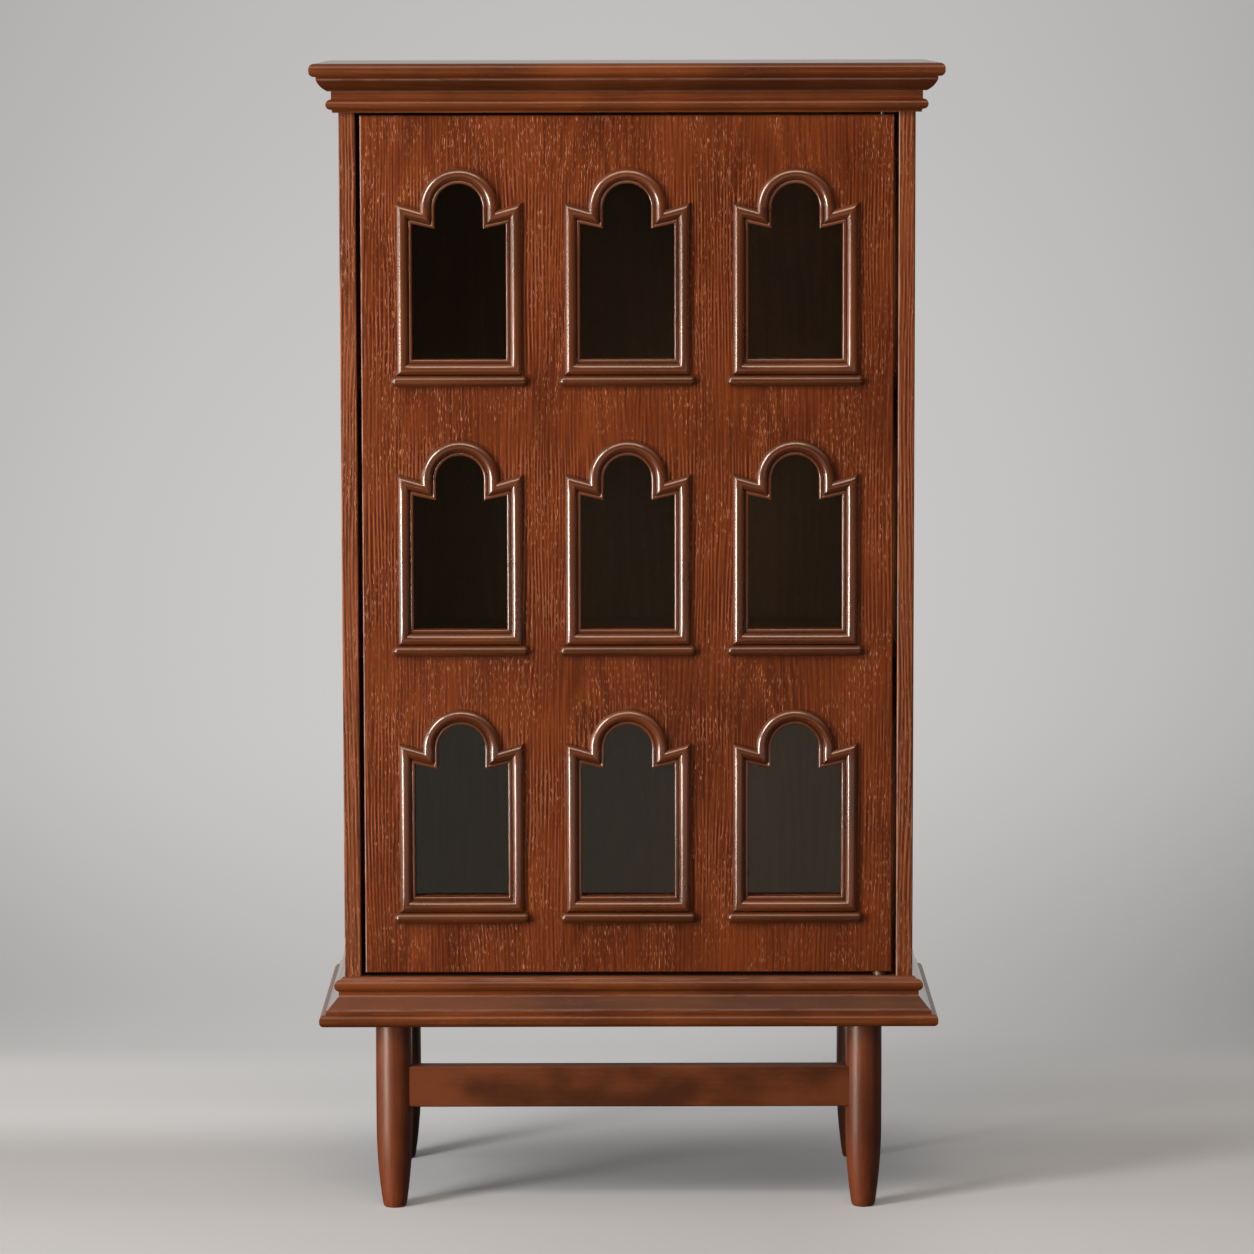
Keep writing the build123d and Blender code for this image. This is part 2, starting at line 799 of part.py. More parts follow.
bead_x = (rebate_width - glazing_bead_width) / 2 - glue_gap
bead_z = (rebate_height - glazing_bead_width) / 2 - glue_gap
with BuildPart() as glazing_beads:
    with BuildSketch(door_rear):
        with Locations(*[(x + side * bead_x, z) for x, z in rebate_middles for side in (-1, 1)]):
            Rectangle(glazing_bead_width, rebate_height - 2 * glue_gap)
        with Locations(*[(x, z + side * bead_z) for x, z in rebate_middles for side in (-1, 1)]):
            Rectangle(rebate_width - 2 * glazing_bead_width - 4 * glue_gap, glazing_bead_width)
    extrude(amount=glazing_bead_depth)
glazing_beads.part.label = "glazing_beads"
export_step(glazing_beads.part, "parts/glazing_beads.step")

# ------------------------------------------------------------ pivot hinges
# The plates are let into the door's edges, and their pins turn in bushes in
# the top and bottom panels. The door stands on the lower bush's flange.
for node, level, outward, sink, gap in (
    ("top_pivot_plate", door_top, up, -1, door_top_gap),
    ("bottom_pivot_plate", door_bottom, down, 1, door_bottom_gap),
):
    with BuildPart() as pivot_plate:
        with Locations((plate_middle, pivot_y, level + sink * pivot_plate_thickness / 2)):
            Box(pivot_plate_length, pivot_plate_width, pivot_plate_thickness)
        countersink([(x, pivot_y, level) for x in plate_screw_xs], outward, pivot_plate_thickness)
        with Locations(*sites([(pivot_x, pivot_y, level)], outward)):
            Cylinder(
                pivot_pin_diameter / 2,
                gap + pivot_pin_engagement,
                align=(Align.CENTER, Align.CENTER, Align.MIN),
            )
    pivot_plate.part.label = node
    export_step(pivot_plate.part, f"parts/{node}.step")

for node, level, inward, flange in (
    ("top_pivot_bush", door_opening_top, up, 0),
    ("bottom_pivot_bush", base_top, down, door_bottom_gap),
):
    with BuildPart() as pivot_bush:
        with BuildSketch(Plane(origin=(pivot_x, pivot_y, level), z_dir=inward)):
            Circle(bush_diameter / 2)
            Circle(pivot_pin_diameter / 2 + running_fit, mode=Mode.SUBTRACT)
        extrude(amount=bush_depth)
        if flange:
            with BuildSketch(Plane(origin=(pivot_x, pivot_y, level), z_dir=inward)):
                Circle(bush_flange_diameter / 2)
                Circle(pivot_pin_diameter / 2 + running_fit, mode=Mode.SUBTRACT)
            extrude(amount=-flange)
    pivot_bush.part.label = node
    export_step(pivot_bush.part, f"parts/{node}.step")

# ------------------------------------------------- strike plate, door screws
with BuildPart() as strike_plate:
    with Locations((latch_x, door_back + strike_thickness / 2, latch_z)):
        Box(strike_width, strike_thickness, strike_height)
    countersink(strike_screw_points, back, strike_thickness)
strike_plate.part.label = "strike_plate"
export_step(strike_plate.part, "parts/strike_plate.step")

with BuildPart() as door_screws:
    for level, outward in ((door_top, up), (door_bottom, down)):
        with Locations(*sites([(x, pivot_y, level) for x in plate_screw_xs], outward)):
            add(long_screw)
    with Locations(*sites(strike_screw_points, back)):
        add(screw(strike_screw_length))
door_screws.part.label = "door_screws"
export_step(door_screws.part, "parts/door_screws.step")

# --------------------------------------------------------------- push latch
# The plunger's nose touches the strike plate. It slides back in the housing
# against the spring, which sits round the plunger's tail.
plunger_tip = door_back + strike_thickness
nose_end = plunger_tip + plunger_nose_length
tail_end = nose_end + plunger_tail_length
bore_end = tail_end + latch_travel + sliding_fit
latch_axis = Plane(origin=(latch_x, plunger_tip, latch_z), x_dir=right, z_dir=back)
ear_middle = (latch_x, latch_front + latch_length / 2, door_opening_top - latch_ear_thickness / 2)

with BuildPart() as latch_housing:
    with Locations((latch_x, latch_front + latch_length / 2, latch_z)):
        Box(latch_width, latch_length, latch_height)
    with Locations(ear_middle):
        Box(latch_width + 2 * latch_ear, latch_ear, latch_ear_thickness)
    with BuildSketch(latch_axis):
        Circle(plunger_diameter / 2 + sliding_fit)
    extrude(amount=bore_end - plunger_tip, mode=Mode.SUBTRACT)
    countersink(latch_screw_points, down, latch_ear_thickness)
latch_housing.part.label = "latch_housing"
export_step(latch_housing.part, "parts/latch_housing.step")

with BuildPart() as latch_plunger:
    with BuildSketch(latch_axis):
        Circle(plunger_diameter / 2)
    extrude(amount=plunger_nose_length)
    with BuildSketch(latch_axis.offset(plunger_nose_length)):
        Circle(plunger_tail_diameter / 2)
    extrude(amount=plunger_tail_length)
latch_plunger.part.label = "latch_plunger"
export_step(latch_plunger.part, "parts/latch_plunger.step")

spring_seat = bore_end - sliding_fit - spring_wire / 2
spring_length = spring_seat - nose_end - latch_travel - sliding_fit - spring_wire / 2
with BuildPart() as latch_spring:
    with BuildLine() as coil:
        Helix(
            spring_pitch,
            spring_length,
            spring_radius,
            center=(latch_x, spring_seat, latch_z),
            direction=front,
        )
    with BuildSketch(coil.line ^ 0):
        Circle(spring_wire / 2)
    sweep(path=coil.wires()[0], is_frenet=True)
latch_spring.part.label = "latch_spring"
export_step(latch_spring.part, "parts/latch_spring.step")
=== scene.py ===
from math import cos, hypot, pi, radians, sin, tan

import bmesh
import bpy
from mathutils import Matrix, Vector, noise


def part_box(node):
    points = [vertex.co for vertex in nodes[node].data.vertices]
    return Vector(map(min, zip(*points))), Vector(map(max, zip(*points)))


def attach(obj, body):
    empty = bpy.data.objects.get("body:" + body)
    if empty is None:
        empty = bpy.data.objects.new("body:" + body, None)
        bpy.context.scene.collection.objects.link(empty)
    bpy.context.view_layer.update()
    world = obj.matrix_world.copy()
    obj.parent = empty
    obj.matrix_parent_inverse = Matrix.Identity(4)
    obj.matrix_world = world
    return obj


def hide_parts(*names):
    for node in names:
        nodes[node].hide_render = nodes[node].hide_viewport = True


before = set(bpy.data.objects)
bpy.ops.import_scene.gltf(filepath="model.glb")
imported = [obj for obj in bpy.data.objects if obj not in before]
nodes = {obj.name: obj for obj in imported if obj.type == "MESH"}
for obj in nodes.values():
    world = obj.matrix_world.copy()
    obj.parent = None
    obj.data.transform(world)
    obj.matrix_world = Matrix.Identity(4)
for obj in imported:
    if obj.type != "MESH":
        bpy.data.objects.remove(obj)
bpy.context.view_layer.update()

# ---------------------------------------------------------------- turned legs
# Four oak legs turned on a lathe: straight down to knee height, then a long curved
# taper to a small rounded foot. A hanger bolt holds each one to the base board.
leg_steps = 96
foot_steps = 8
taper_steps = 30
shaft_steps = 24
leg_crease = radians(40)
taper_height = 0.105
foot_radius = 0.0141
foot_round = 0.0026
lathe_waver = 0.00012
waver_round = 0.4
waver_along = 16

# Every oak board's figure. A size is in metres across, deep and along the grain. A band is
# where a pattern starts and ends and, if four numbers, what it goes from and to.
wander_size = (0.11, 0.11, 0.55)
wander_reach = 0.034
ring_pitch = 0.0052
ring_rise = 0.05
heart_offset = 0.02
leaf_shift = 0.23
ring_wobble_size = (0.05, 0.05, 0.4)
ring_wobble = 2.5
spring_opens = (0.0, 0.3)
spring_closes = (0.7, 0.4)
spring_tone = 0.25
pore_size = (0.0009, 0.0009, 0.0080)
pore_band = (0.65, 0.74)
pore_patch_size = (0.05, 0.05, 0.09)
pore_patch_band = (0.38, 0.60, 0.15, 1.0)
pores_in_spring_wood = 0.55
fibre_size = (0.0026, 0.0026, 0.11)
cloud_size = (0.08, 0.08, 0.16)
middle_tone = 0.04
tone_reach = 0.28
reed_pitch = 0.0042
reed_drift_size = (0.022, 0.022, 0.30)
reed_drift = 11.0
reed_floor = -0.45
brushed_size = (0.05, 0.05, 0.16)
brushed_band = (0.36, 0.60, 0.35, 1.0)
broken_size = (0.0045, 0.02, 0.035)
broken_band = (0.40, 0.58, 0.15, 1.0)
beside_windows_band = (0.03, 0.08, 0.25, 1.0)
left_grazing_light_band = (-0.33, 0.33, 1.0, 0.6)
crest_band = (0.5, 1.0)
crest_share = 0.45
edge_highlight_band = (0.0006, 0.0019, 1.0, 0.0)
edge_highlight_break_size = (0.004, 0.004, 0.035)
edge_highlight_break_band = (0.34, 0.56)
least_edge_highlight = 0.3
shade_band_outside = 0.0006
shade_band_inside = 0.0008
cloud_roughness = 0.12
pore_roughness = 0.2
pore_depth = 0.9
fibre_height = 0.5
reed_height = 0.5
relief_strength = 0.35
relief_height = 0.0004
upward_band = (0.95, 0.995)
top_coat = 0.7
pore_tan = (0.52, 0.220, 0.110)
edge_highlight_tan = (0.36, 0.20, 0.15)
shade_and_glaze = (0.012, 0.0020, 0.0002)
lacquer_tint = (1.0, 0.86, 0.74, 1)
front_leg_stain = {"dark": (0.088, 0.0155, 0.0014), "light": (0.205, 0.038, 0.0044)}
# The rear legs' darker stain is painted shade
rear_leg_shaded_stain = {"dark": (0.036, 0.0080, 0.0012), "light": (0.084, 0.019, 0.0034)}
leg_finish = {"pores": 0.15, "streaks": 0.25, "mottle": 1.4, "rough": 0.36, "coat": 0.35}


def shade(tree, kind, inputs=None, family="ShaderNode", **options):
    """One node. Its inputs are values, or outputs of other nodes."""
    made = tree.nodes.new(family + kind)
    for option, value in options.items():
        setattr(made, option, value)
    for socket, value in (inputs or {}).items():
        if isinstance(value, bpy.types.NodeSocket):
            tree.links.new(value, made.inputs[socket])
        else:
            made.inputs[socket].default_value = value
    return made


def maths(tree, operation, first, second=0.0, third=0.0):
    """One sum of two or three numbers."""
    inputs = {0: first, 1: second, 2: third}
    return shade(tree, "Math", inputs, operation=operation).outputs[0]


def ramp(tree, value, low, high, to_low=0.0, to_high=1.0):
    """A value's stretch from low to high, eased at both ends."""
    inputs = {"Value": value, "From Min": low, "From Max": high}
    inputs |= {"To Min": to_low, "To Max": to_high}
    return shade(tree, "MapRange", inputs, interpolation_type="SMOOTHSTEP").outputs[0]


def speckle(tree, place, size, detail=2.0):
    """Noise whose blobs are size metres across, deep and along."""
    stretch = shade(tree, "VectorMath", {0: place, 1: [1 / s for s in size]}, operation="MULTIPLY")
    inputs = {"Vector": stretch.outputs[0], "Scale": 1.0, "Detail": detail}
    return shade(tree, "TexNoise", inputs).outputs["Fac"]


def blend(tree, amount, first, second, how="MIX"):
    """Two colours mixed."""
    inputs = {0: amount, 6: first, 7: second}
    return shade(tree, "Mix", inputs, data_type="RGBA", blend_type=how).outputs[2]


def stained_oak(name, grain, dark, light, pores=0.5, reeds=0.0, streaks=0.4, mottle=0.8,
                leaf=0.0, face=0.0, rough=0.4, coat=0.0, coat_rough=0.18, gloss=1.5, highlit_arrises=(),
                edge_highlight_strength=0.75, painted_shade_heights=(), hollows=(), rows=(), polished_top=False):
    """Stained and lacquered oak. grain: the axis it runs along, or "path" for a bent moulding.

    Pores are short pale dashes where the stain was wiped off, thickest along the growth rings.
    reeds: how strongly the brushed grain shows as fine even lines. streaks: the stain's long bands.
    mottle: the stain's soft clouds. rows: a height between two rows of windows, and the rows' pitch;
    the grain is brushed harder beside the windows, and towards the left its lines are painted stronger,
    painted light for the side light grazing the board there.
    leaf: width of one leaf of veneer, which carries one cathedral of rings.
    face: where the board's best face lies in its own depth.
    highlit arrises: edges painted with a pale line that stands in for a highlight, broken up by noise,
    each an axis, a place on it and, for an upright edge, its board's front face. gloss: the IOR.
    painted shade heights: heights between which the colour is darkened as painted shade, and how much.
    shaded hollows: the same round a bent moulding's section, each a place, its width and how much;
    there the dark is painted shade in part and glaze in part.
    """
    material = bpy.data.materials.new(name)
    material.use_nodes = True
    tree = material.node_tree
    shader = tree.nodes["Principled BSDF"]
    if grain == "path":
        board = shade(tree, "Attribute", attribute_name="board_place").outputs["Vector"]
    else:
        object_place = shade(tree, "TexCoord").outputs["Object"]
        x, y, z = shade(tree, "SeparateXYZ", {0: object_place}).outputs[:]
        side_across = maths(tree, "ADD", x, y) if grain == "side" else y
        boards = {"X": (z, y, x), "Y": (z, x, y), "Z": (x, y, z), "side": (side_across, x, z)}
        across, deep, along = boards[grain]
        board = shade(tree, "CombineXYZ", {0: across, 1: deep, 2: along}).outputs[0]

    # The grain wanders a few millimetres from straight
    wander = speckle(tree, board, wander_size, 3.0)
    wander = maths(tree, "MULTIPLY_ADD", wander, wander_reach, -wander_reach / 2)
    across, deep, along = shade(tree, "SeparateXYZ", {0: board}).outputs[:]
    section_place = across
    across = maths(tree, "ADD", across, wander)
    board = shade(tree, "CombineXYZ", {0: across, 1: deep, 2: along}).outputs[0]

    # Growth rings: nested arches up the middle of each leaf, near-straight at its edges
    if leaf:
        across = maths(tree, "PINGPONG", maths(tree, "ADD", across, leaf * leaf_shift), leaf / 2)
    rise = maths(tree, "MULTIPLY_ADD", along, ring_rise, heart_offset)
    depth = maths(tree, "ADD", deep, -face)
    heart = shade(tree, "CombineXYZ", {0: across, 1: depth, 2: rise}).outputs[0]
    radius = shade(tree, "VectorMath", {0: heart}, operation="LENGTH").outputs["Value"]
    wobble = maths(tree, "MULTIPLY", speckle(tree, board, ring_wobble_size), ring_wobble)
    rings = maths(tree, "FRACT", maths(tree, "MULTIPLY_ADD", radius, 1 / ring_pitch, wobble))
    opened = ramp(tree, rings, *spring_opens)
    spring_wood = maths(tree, "MULTIPLY", opened, ramp(tree, rings, *spring_closes))

    dashes = ramp(tree, speckle(tree, board, pore_size, 0.0), *pore_band)
    patches = ramp(tree, speckle(tree, board, pore_patch_size), *pore_patch_band)
    by_ring = maths(tree, "MULTIPLY_ADD", spring_wood, pores_in_spring_wood, 1 - pores_in_spring_wood)
    pore_mask = maths(tree, "MULTIPLY", maths(tree, "MULTIPLY", dashes, by_ring), patches)

    fibres = speckle(tree, board, fibre_size)
    clouds = speckle(tree, board, cloud_size, 4.0)
    bands = maths(tree, "MULTIPLY", fibres, streaks)
    tone = maths(tree, "ADD", maths(tree, "MULTIPLY", clouds, mottle), bands)
    tone = maths(tree, "ADD", tone, maths(tree, "MULTIPLY", spring_wood, spring_tone * streaks))
    ridges = 0.0
    crests = 0.0
    if reeds:
        drift = maths(tree, "MULTIPLY", speckle(tree, board, reed_drift_size), reed_drift)
        phase = maths(tree, "MULTIPLY_ADD", across, 2 * pi / reed_pitch, drift)
        brushed = ramp(tree, speckle(tree, board, brushed_size), *brushed_band)
        broken = ramp(tree, speckle(tree, board, broken_size, 1.0), *broken_band)
        brushed = maths(tree, "MULTIPLY", brushed, broken)
        for between, pitch in rows:
            off_between = maths(tree, "PINGPONG", maths(tree, "ADD", z, -between), pitch / 2)
            brushed_and_side_lit = ramp(tree, off_between, *beside_windows_band)
            # Painted light: the lines grow stronger towards the left, where the side light grazes the
            # board
            brushed_and_side_lit = maths(tree, "MULTIPLY", brushed_and_side_lit, ramp(tree, x, *left_grazing_light_band))
            brushed = maths(tree, "MULTIPLY", brushed, brushed_and_side_lit)
        wave = maths(tree, "MAXIMUM", maths(tree, "SINE", phase), reed_floor)
        ridges = maths(tree, "MULTIPLY", wave, maths(tree, "MULTIPLY", brushed, reeds))
        paled = maths(tree, "MULTIPLY", brushed, crest_share * reeds)
        crests = maths(tree, "MULTIPLY", ramp(tree, wave, *crest_band), paled)
        tone = maths(tree, "ADD", tone, ridges)
    middle = middle_tone + (mottle + streaks) / 2
    stain_depth = ramp(tree, tone, middle - tone_reach, middle + tone_reach)
    colour = blend(tree, stain_depth, (*dark, 1), (*light, 1))
    paler = maths(tree, "MAXIMUM", maths(tree, "MULTIPLY", pore_mask, pores), crests)
    colour = blend(tree, paler, colour, (*pore_tan, 1))
    # A pale line along each given edge: a painted highlight, broken up by noise
    for axis, arris, *fronts in highlit_arrises:
        off_edge = maths(tree, "ABSOLUTE", maths(tree, "ADD", {"x": x, "z": z}[axis], -arris))
        for front in fronts:
            behind = maths(tree, "ABSOLUTE", maths(tree, "ADD", y, -front))
            off_edge = maths(tree, "MAXIMUM", off_edge, behind)
        edge_highlight = ramp(tree, off_edge, *edge_highlight_band)
        highlight_breaks = ramp(tree, speckle(tree, board, edge_highlight_break_size, 3.0), *edge_highlight_break_band, least_edge_highlight * edge_highlight_strength, edge_highlight_strength)
        colour = blend(tree, maths(tree, "MULTIPLY", edge_highlight, highlight_breaks), colour, (*edge_highlight_tan, 1))
    # Painted shade: darker bands between given heights
    for low, high, shade_and_glaze_depth in painted_shade_heights:
        above = ramp(tree, z, low - shade_band_outside, low + shade_band_inside)
        below = ramp(tree, z, high + shade_band_outside, high - shade_band_inside)
        shade_and_glaze_mask = maths(tree, "MULTIPLY", above, below)
        colour = blend(tree, maths(tree, "MULTIPLY", shade_and_glaze_mask, shade_and_glaze_depth), colour, (*shade_and_glaze, 1))
    # Darker round given places of a moulding's section: painted shade, partly glaze
    for place, spread, shade_and_glaze_depth in hollows:
        off_hollow = maths(tree, "ABSOLUTE", maths(tree, "ADD", section_place, -place))
        shade_and_glaze_mask = ramp(tree, off_hollow, 0.0, spread, shade_and_glaze_depth, 0.0)
        colour = blend(tree, shade_and_glaze_mask, colour, (*shade_and_glaze, 1))
    tree.links.new(colour, shader.inputs["Base Color"])

    roughness = maths(tree, "MULTIPLY_ADD", clouds, cloud_roughness, rough - cloud_roughness / 2)
    pored = maths(tree, "MULTIPLY", pore_mask, pore_roughness * pores)
    tree.links.new(maths(tree, "ADD", roughness, pored), shader.inputs["Roughness"])
    relief = maths(tree, "MULTIPLY", fibres, fibre_height)
    relief = maths(tree, "MULTIPLY_ADD", pore_mask, -pore_depth * pores, relief)
    relief = maths(tree, "MULTIPLY_ADD", ridges, reed_height, relief)
    bump = shade(tree, "Bump", {"Strength": relief_strength, "Distance": relief_height, "Height": relief})
    tree.links.new(bump.outputs[0], shader.inputs["Normal"])
    shader.inputs["IOR"].default_value = gloss
    shader.inputs["Specular Tint"].default_value = lacquer_tint
    shader.inputs["Coat Weight"].default_value = coat
    shader.inputs["Coat Roughness"].default_value = coat_rough
    if polished_top:
        upward = shade(tree, "SeparateXYZ", {0: shade(tree, "NewGeometry").outputs["Normal"]}).outputs[2]
        tree.links.new(ramp(tree, upward, *upward_band, coat, top_coat), shader.inputs["Coat Weight"])
    return material


def settle(name, mesh, material, body, slot, *stands_for):
    """A finished mesh becomes a piece of the cabinet, in place of its CAD nodes."""
    piece = bpy.data.objects.new(name, mesh)
    bpy.context.scene.collection.objects.link(piece)
    if not mesh.materials:
        mesh.materials.append(material)
    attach(piece, body)
    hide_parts(*stands_for)
    return piece


front_leg_oak = stained_oak("front_leg_oak", "Z", **front_leg_stain, **leg_finish, gloss=1.95)
# The rear legs get a darker copy of the front legs' stain, with less gloss: painted shade for the shade
# under the cabinet
rear_leg_shaded_oak = stained_oak("rear_leg_shaded_oak", "Z", **rear_leg_shaded_stain, **leg_finish, gloss=1.5)
for word in ("front_left", "front_right", "rear_left", "rear_right"):
    low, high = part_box(f"{word}_leg")
    centre = (low + high) / 2
    leg_radius = (high.x - low.x) / 2 - lathe_waver
    taper_in = leg_radius - foot_radius
    taper_radius = (taper_height**2 + taper_in**2) / (2 * taper_in)
    outline = []
    for i in range(foot_steps + 1):
        turn = pi / 2 * i / foot_steps
        outline.append((foot_radius - foot_round * (1 - sin(turn)), foot_round * (1 - cos(turn))))
    for i in range(1, taper_steps + 1):
        z = foot_round + (taper_height - foot_round) * i / taper_steps
        bulge = (taper_radius**2 - (taper_height - z) ** 2) ** 0.5
        outline.append((leg_radius - taper_radius + bulge, z))
    for i in range(1, shaft_steps + 1):
        outline.append((leg_radius, taper_height + (high.z - taper_height) * i / shaft_steps))
    points = []
    for radius, z in outline:
        for i in range(leg_steps):
            turn = 2 * pi * i / leg_steps
            side = Vector((cos(turn), sin(turn), 0))
            waver = noise.noise(centre + side * waver_round + Vector((0, 0, z * waver_along)))
            points.append(Vector((centre.x, centre.y, z)) + side * (radius + lathe_waver * waver))
    faces = []
    for row in range(0, len(points) - leg_steps, leg_steps):
        for i in range(leg_steps):
            after = (i + 1) % leg_steps
            faces.append((row + i, row + after, row + leg_steps + after, row + leg_steps + i))
    faces += [tuple(reversed(range(leg_steps))), tuple(range(len(points) - leg_steps, len(points)))]
    mesh = bpy.data.meshes.new(f"turned_leg_{word}")
    mesh.from_pydata(points, [], faces)
    mesh.shade_smooth()
    mesh.set_sharp_from_angle(angle=leg_crease)
    leg_oak = front_leg_oak if word.startswith("front") else rear_leg_shaded_oak
    settle(f"turned_leg_{word}", mesh, leg_oak, "cabinet", "leg_wood", f"{word}_leg")

# ----------------------------------------------------------------- front rail
# A plain oak rail, tenoned into the two front legs and scribed round them. Its stain lies
# in soft clouds along the grain.
rail_stain = {"dark": (0.060, 0.0132, 0.0028), "light": (0.146, 0.034, 0.0080)}
rail_finish = {"pores": 0.05, "streaks": 0.08, "mottle": 2.4, "rough": 0.42, "coat": 0.1}
rail_oak = stained_oak("rail_oak", "X", **rail_stain, **rail_finish)


def dress(material, *names):
    """CAD nodes whose shape is right get their finish."""
    for name in names:
        for place in nodes[name].material_slots:
            place.material = material


dress(rail_oak, "front_rail")

# ------------------------------------------------------- base board and crown
# Bullnosed boards above and below, and stepped mouldings mitred round the front and both
# sides. The grain runs along each length.
long_stain = {"dark": (0.076, 0.0156, 0.0022), "light": (0.170, 0.039, 0.0070)}
long_finish = {"pores": 0.12, "streaks": 0.3, "mottle": 1.25, "rough": 0.34, "coat": 0.1, "edge_highlight_strength": 0.35}
flare_foot = 0.2495
flare_top = 0.2647
base_bead_top = 0.2850
ovolo_foot = 1.3667
ovolo_top = 1.3805
flare_lip = 0.0002
# The crown's ovolo under its board and the base's upward flare are darkened as painted shade
ovolo_painted_shade = 0.50
flare_painted_shade = 0.40
# Edges of the base and crown mouldings that get a painted highlight
highlit_edges = [("z", height) for height in (flare_foot, flare_top, base_bead_top, ovolo_foot, ovolo_top)]
glazed_hollows = ((ovolo_foot, ovolo_top, ovolo_painted_shade),
                  (flare_foot + flare_lip, flare_top - flare_lip, flare_painted_shade))
front_finish = {**long_finish, "highlit_arrises": highlit_edges, "painted_shade_heights": glazed_hollows}
front_oak = stained_oak("front_oak", "X", **long_stain, **front_finish)
top_oak = stained_oak("top_oak", "X", **long_stain, **long_finish, polished_top=True)
return_finish = {"pores": 0.12, "streaks": 0.3, "mottle": 1.25, "rough": 0.26, "coat": 1.0}
return_oak = stained_oak("return_oak", "Y", **long_stain, **return_finish, painted_shade_heights=glazed_hollows)
dress(front_oak, "base_board", "base_moulding_front", "crown_moulding_front")
dress(top_oak, "crown_board")
dress(return_oak, "base_moulding_left", "base_moulding_right")
dress(return_oak, "crown_moulding_left", "crown_moulding_right")

# ------------------------------------------------------------ carcass panels
# Two side panels, whose front edges show as stiles beside the door, a top and a bottom
# panel between them, a back in a rebate, and two shelves on pins.
left_stain = {"dark": (0.072, 0.0136, 0.0028), "light": (0.218, 0.056, 0.0168)}
# The right panel's stain is a little lighter than the left's: painted light on the side away from the
# lamps
right_painted_light_stain = {"dark": (0.074, 0.0128, 0.0018), "light": (0.226, 0.056, 0.0140)}
side_finish = {"pores": 0.75, "reeds": 0.70, "streaks": 0.5, "mottle": 0.5, "leaf": 0.19,
               "face": -0.3473, "rough": 0.36, "coat": 0.1}
carcass_front = -0.150125
# The right panel's inner front edge gets a painted highlight
inner_highlit_arris = (("x", 0.32725, carcass_front),)
left_oak = stained_oak("left_side_oak", "side", **left_stain, **side_finish)
right_finish = {**side_finish, "edge_highlight_strength": 1.0, "highlit_arrises": inner_highlit_arris}
right_oak = stained_oak("right_side_oak", "side", **right_painted_light_stain, **right_finish)
inner_stain = {"dark": (0.07, 0.022, 0.010), "light": (0.13, 0.043, 0.018)}
inner_finish = {"pores": 0.2, "streaks": 0.3, "leaf": 0.15, "rough": 0.5}
inner_oak = stained_oak("inner_oak", "X", **inner_stain, **inner_finish)
back_stain = {"dark": (0.06, 0.021, 0.010), "light": (0.12, 0.042, 0.019)}
back_finish = {"pores": 0.1, "streaks": 0.25, "leaf": 0.18, "rough": 0.55}
back_oak = stained_oak("back_oak", "Z", **back_stain, **back_finish)
dress(left_oak, "left_side_panel")
dress(right_oak, "right_side_panel")
dress(inner_oak, "top_panel", "bottom_panel", "upper_shelf", "lower_shelf")
dress(back_oak, "back_panel", "leg_blocks")

# ----------------------------------------------------------------- door board
# One board of open-grained oak with nine keyhole openings cut through it. Square beads
# behind hold the panes in their rebates.
door_stain = {"dark": (0.056, 0.0072, 0.0003), "light": (0.182, 0.0348, 0.0046)}
window_rows = ((0.658, 0.32851),)
# The door's left front edge gets a painted highlight
door_highlit_arris = (("x", -0.32175, carcass_front),)
door_finish = {"pores": 0.78, "reeds": 0.68, "rows": window_rows, "streaks": 0.4, "mottle": 0.6,
               "leaf": 0.21, "face": -0.15, "rough": 0.36, "gloss": 1.44, "edge_highlight_strength": 1.1}
door_oak = stained_oak("door_oak", "Z", **door_stain, **door_finish, highlit_arrises=door_highlit_arris)
bead_stain = {"dark": (0.08, 0.022, 0.008), "light": (0.15, 0.042, 0.016)}
bead_oak = stained_oak("bead_oak", "X", **bead_stain, pores=0.2, rough=0.5)
dress(door_oak, "door_panel")
dress(bead_oak, "glazing_beads")

# ------------------------------------------------------------ window mouldings
# A carved moulding round each opening: a thin inner strip, a groove and a fat rounded
# bead, cut from lengths mitred at the corners and glued to the door's face.
moulding_width = 0.0187
strip_edge = 0.0007
strip_width = 0.0042
strip_height = 0.0027
strip_flatness = 0.7
groove_at = 0.0049
groove_height = 0.0016
groove_lip = 1.15
bead_height = 0.0081
arch_radius = 0.029
tip_drop = 0.002
ear_lift = 0.002
shoulder_angle = radians(12.2)
mitre = tan(pi / 4 + shoulder_angle / 2)
strip_steps = 8
bead_steps = 24
arch_steps = 48
run_steps = 14
carve_waver = 0.00006
waver_across = 90
waver_up = 60
carved_from = 0.1
carved_to = 0.95
grain_step = 0.37
grain_jump = 0.61
weld = 0.00002
moulding_crease = radians(32)
rows = ("bottom", "middle", "top")
columns = ("left", "centre", "right")
moulding_stain = {"dark": (0.060, 0.0118, 0.0010), "light": (0.150, 0.033, 0.0050)}
moulding_finish = {"pores": 0.12, "streaks": 0.3, "rough": 0.28, "coat": 1.0, "coat_rough": 0.13,
                   "gloss": 1.78}
# Darker in the groove and at the outer foot against the door: painted shade, partly glaze
groove_shade_and_glaze = (0.0076, 0.0024, 0.55)
foot_shade_and_glaze = (0.0300, 0.0048, 0.80)
moulding_finish["hollows"] = (groove_shade_and_glaze, foot_shade_and_glaze)
moulding_oak = stained_oak("moulding_oak", "path", **moulding_stain, **moulding_finish)

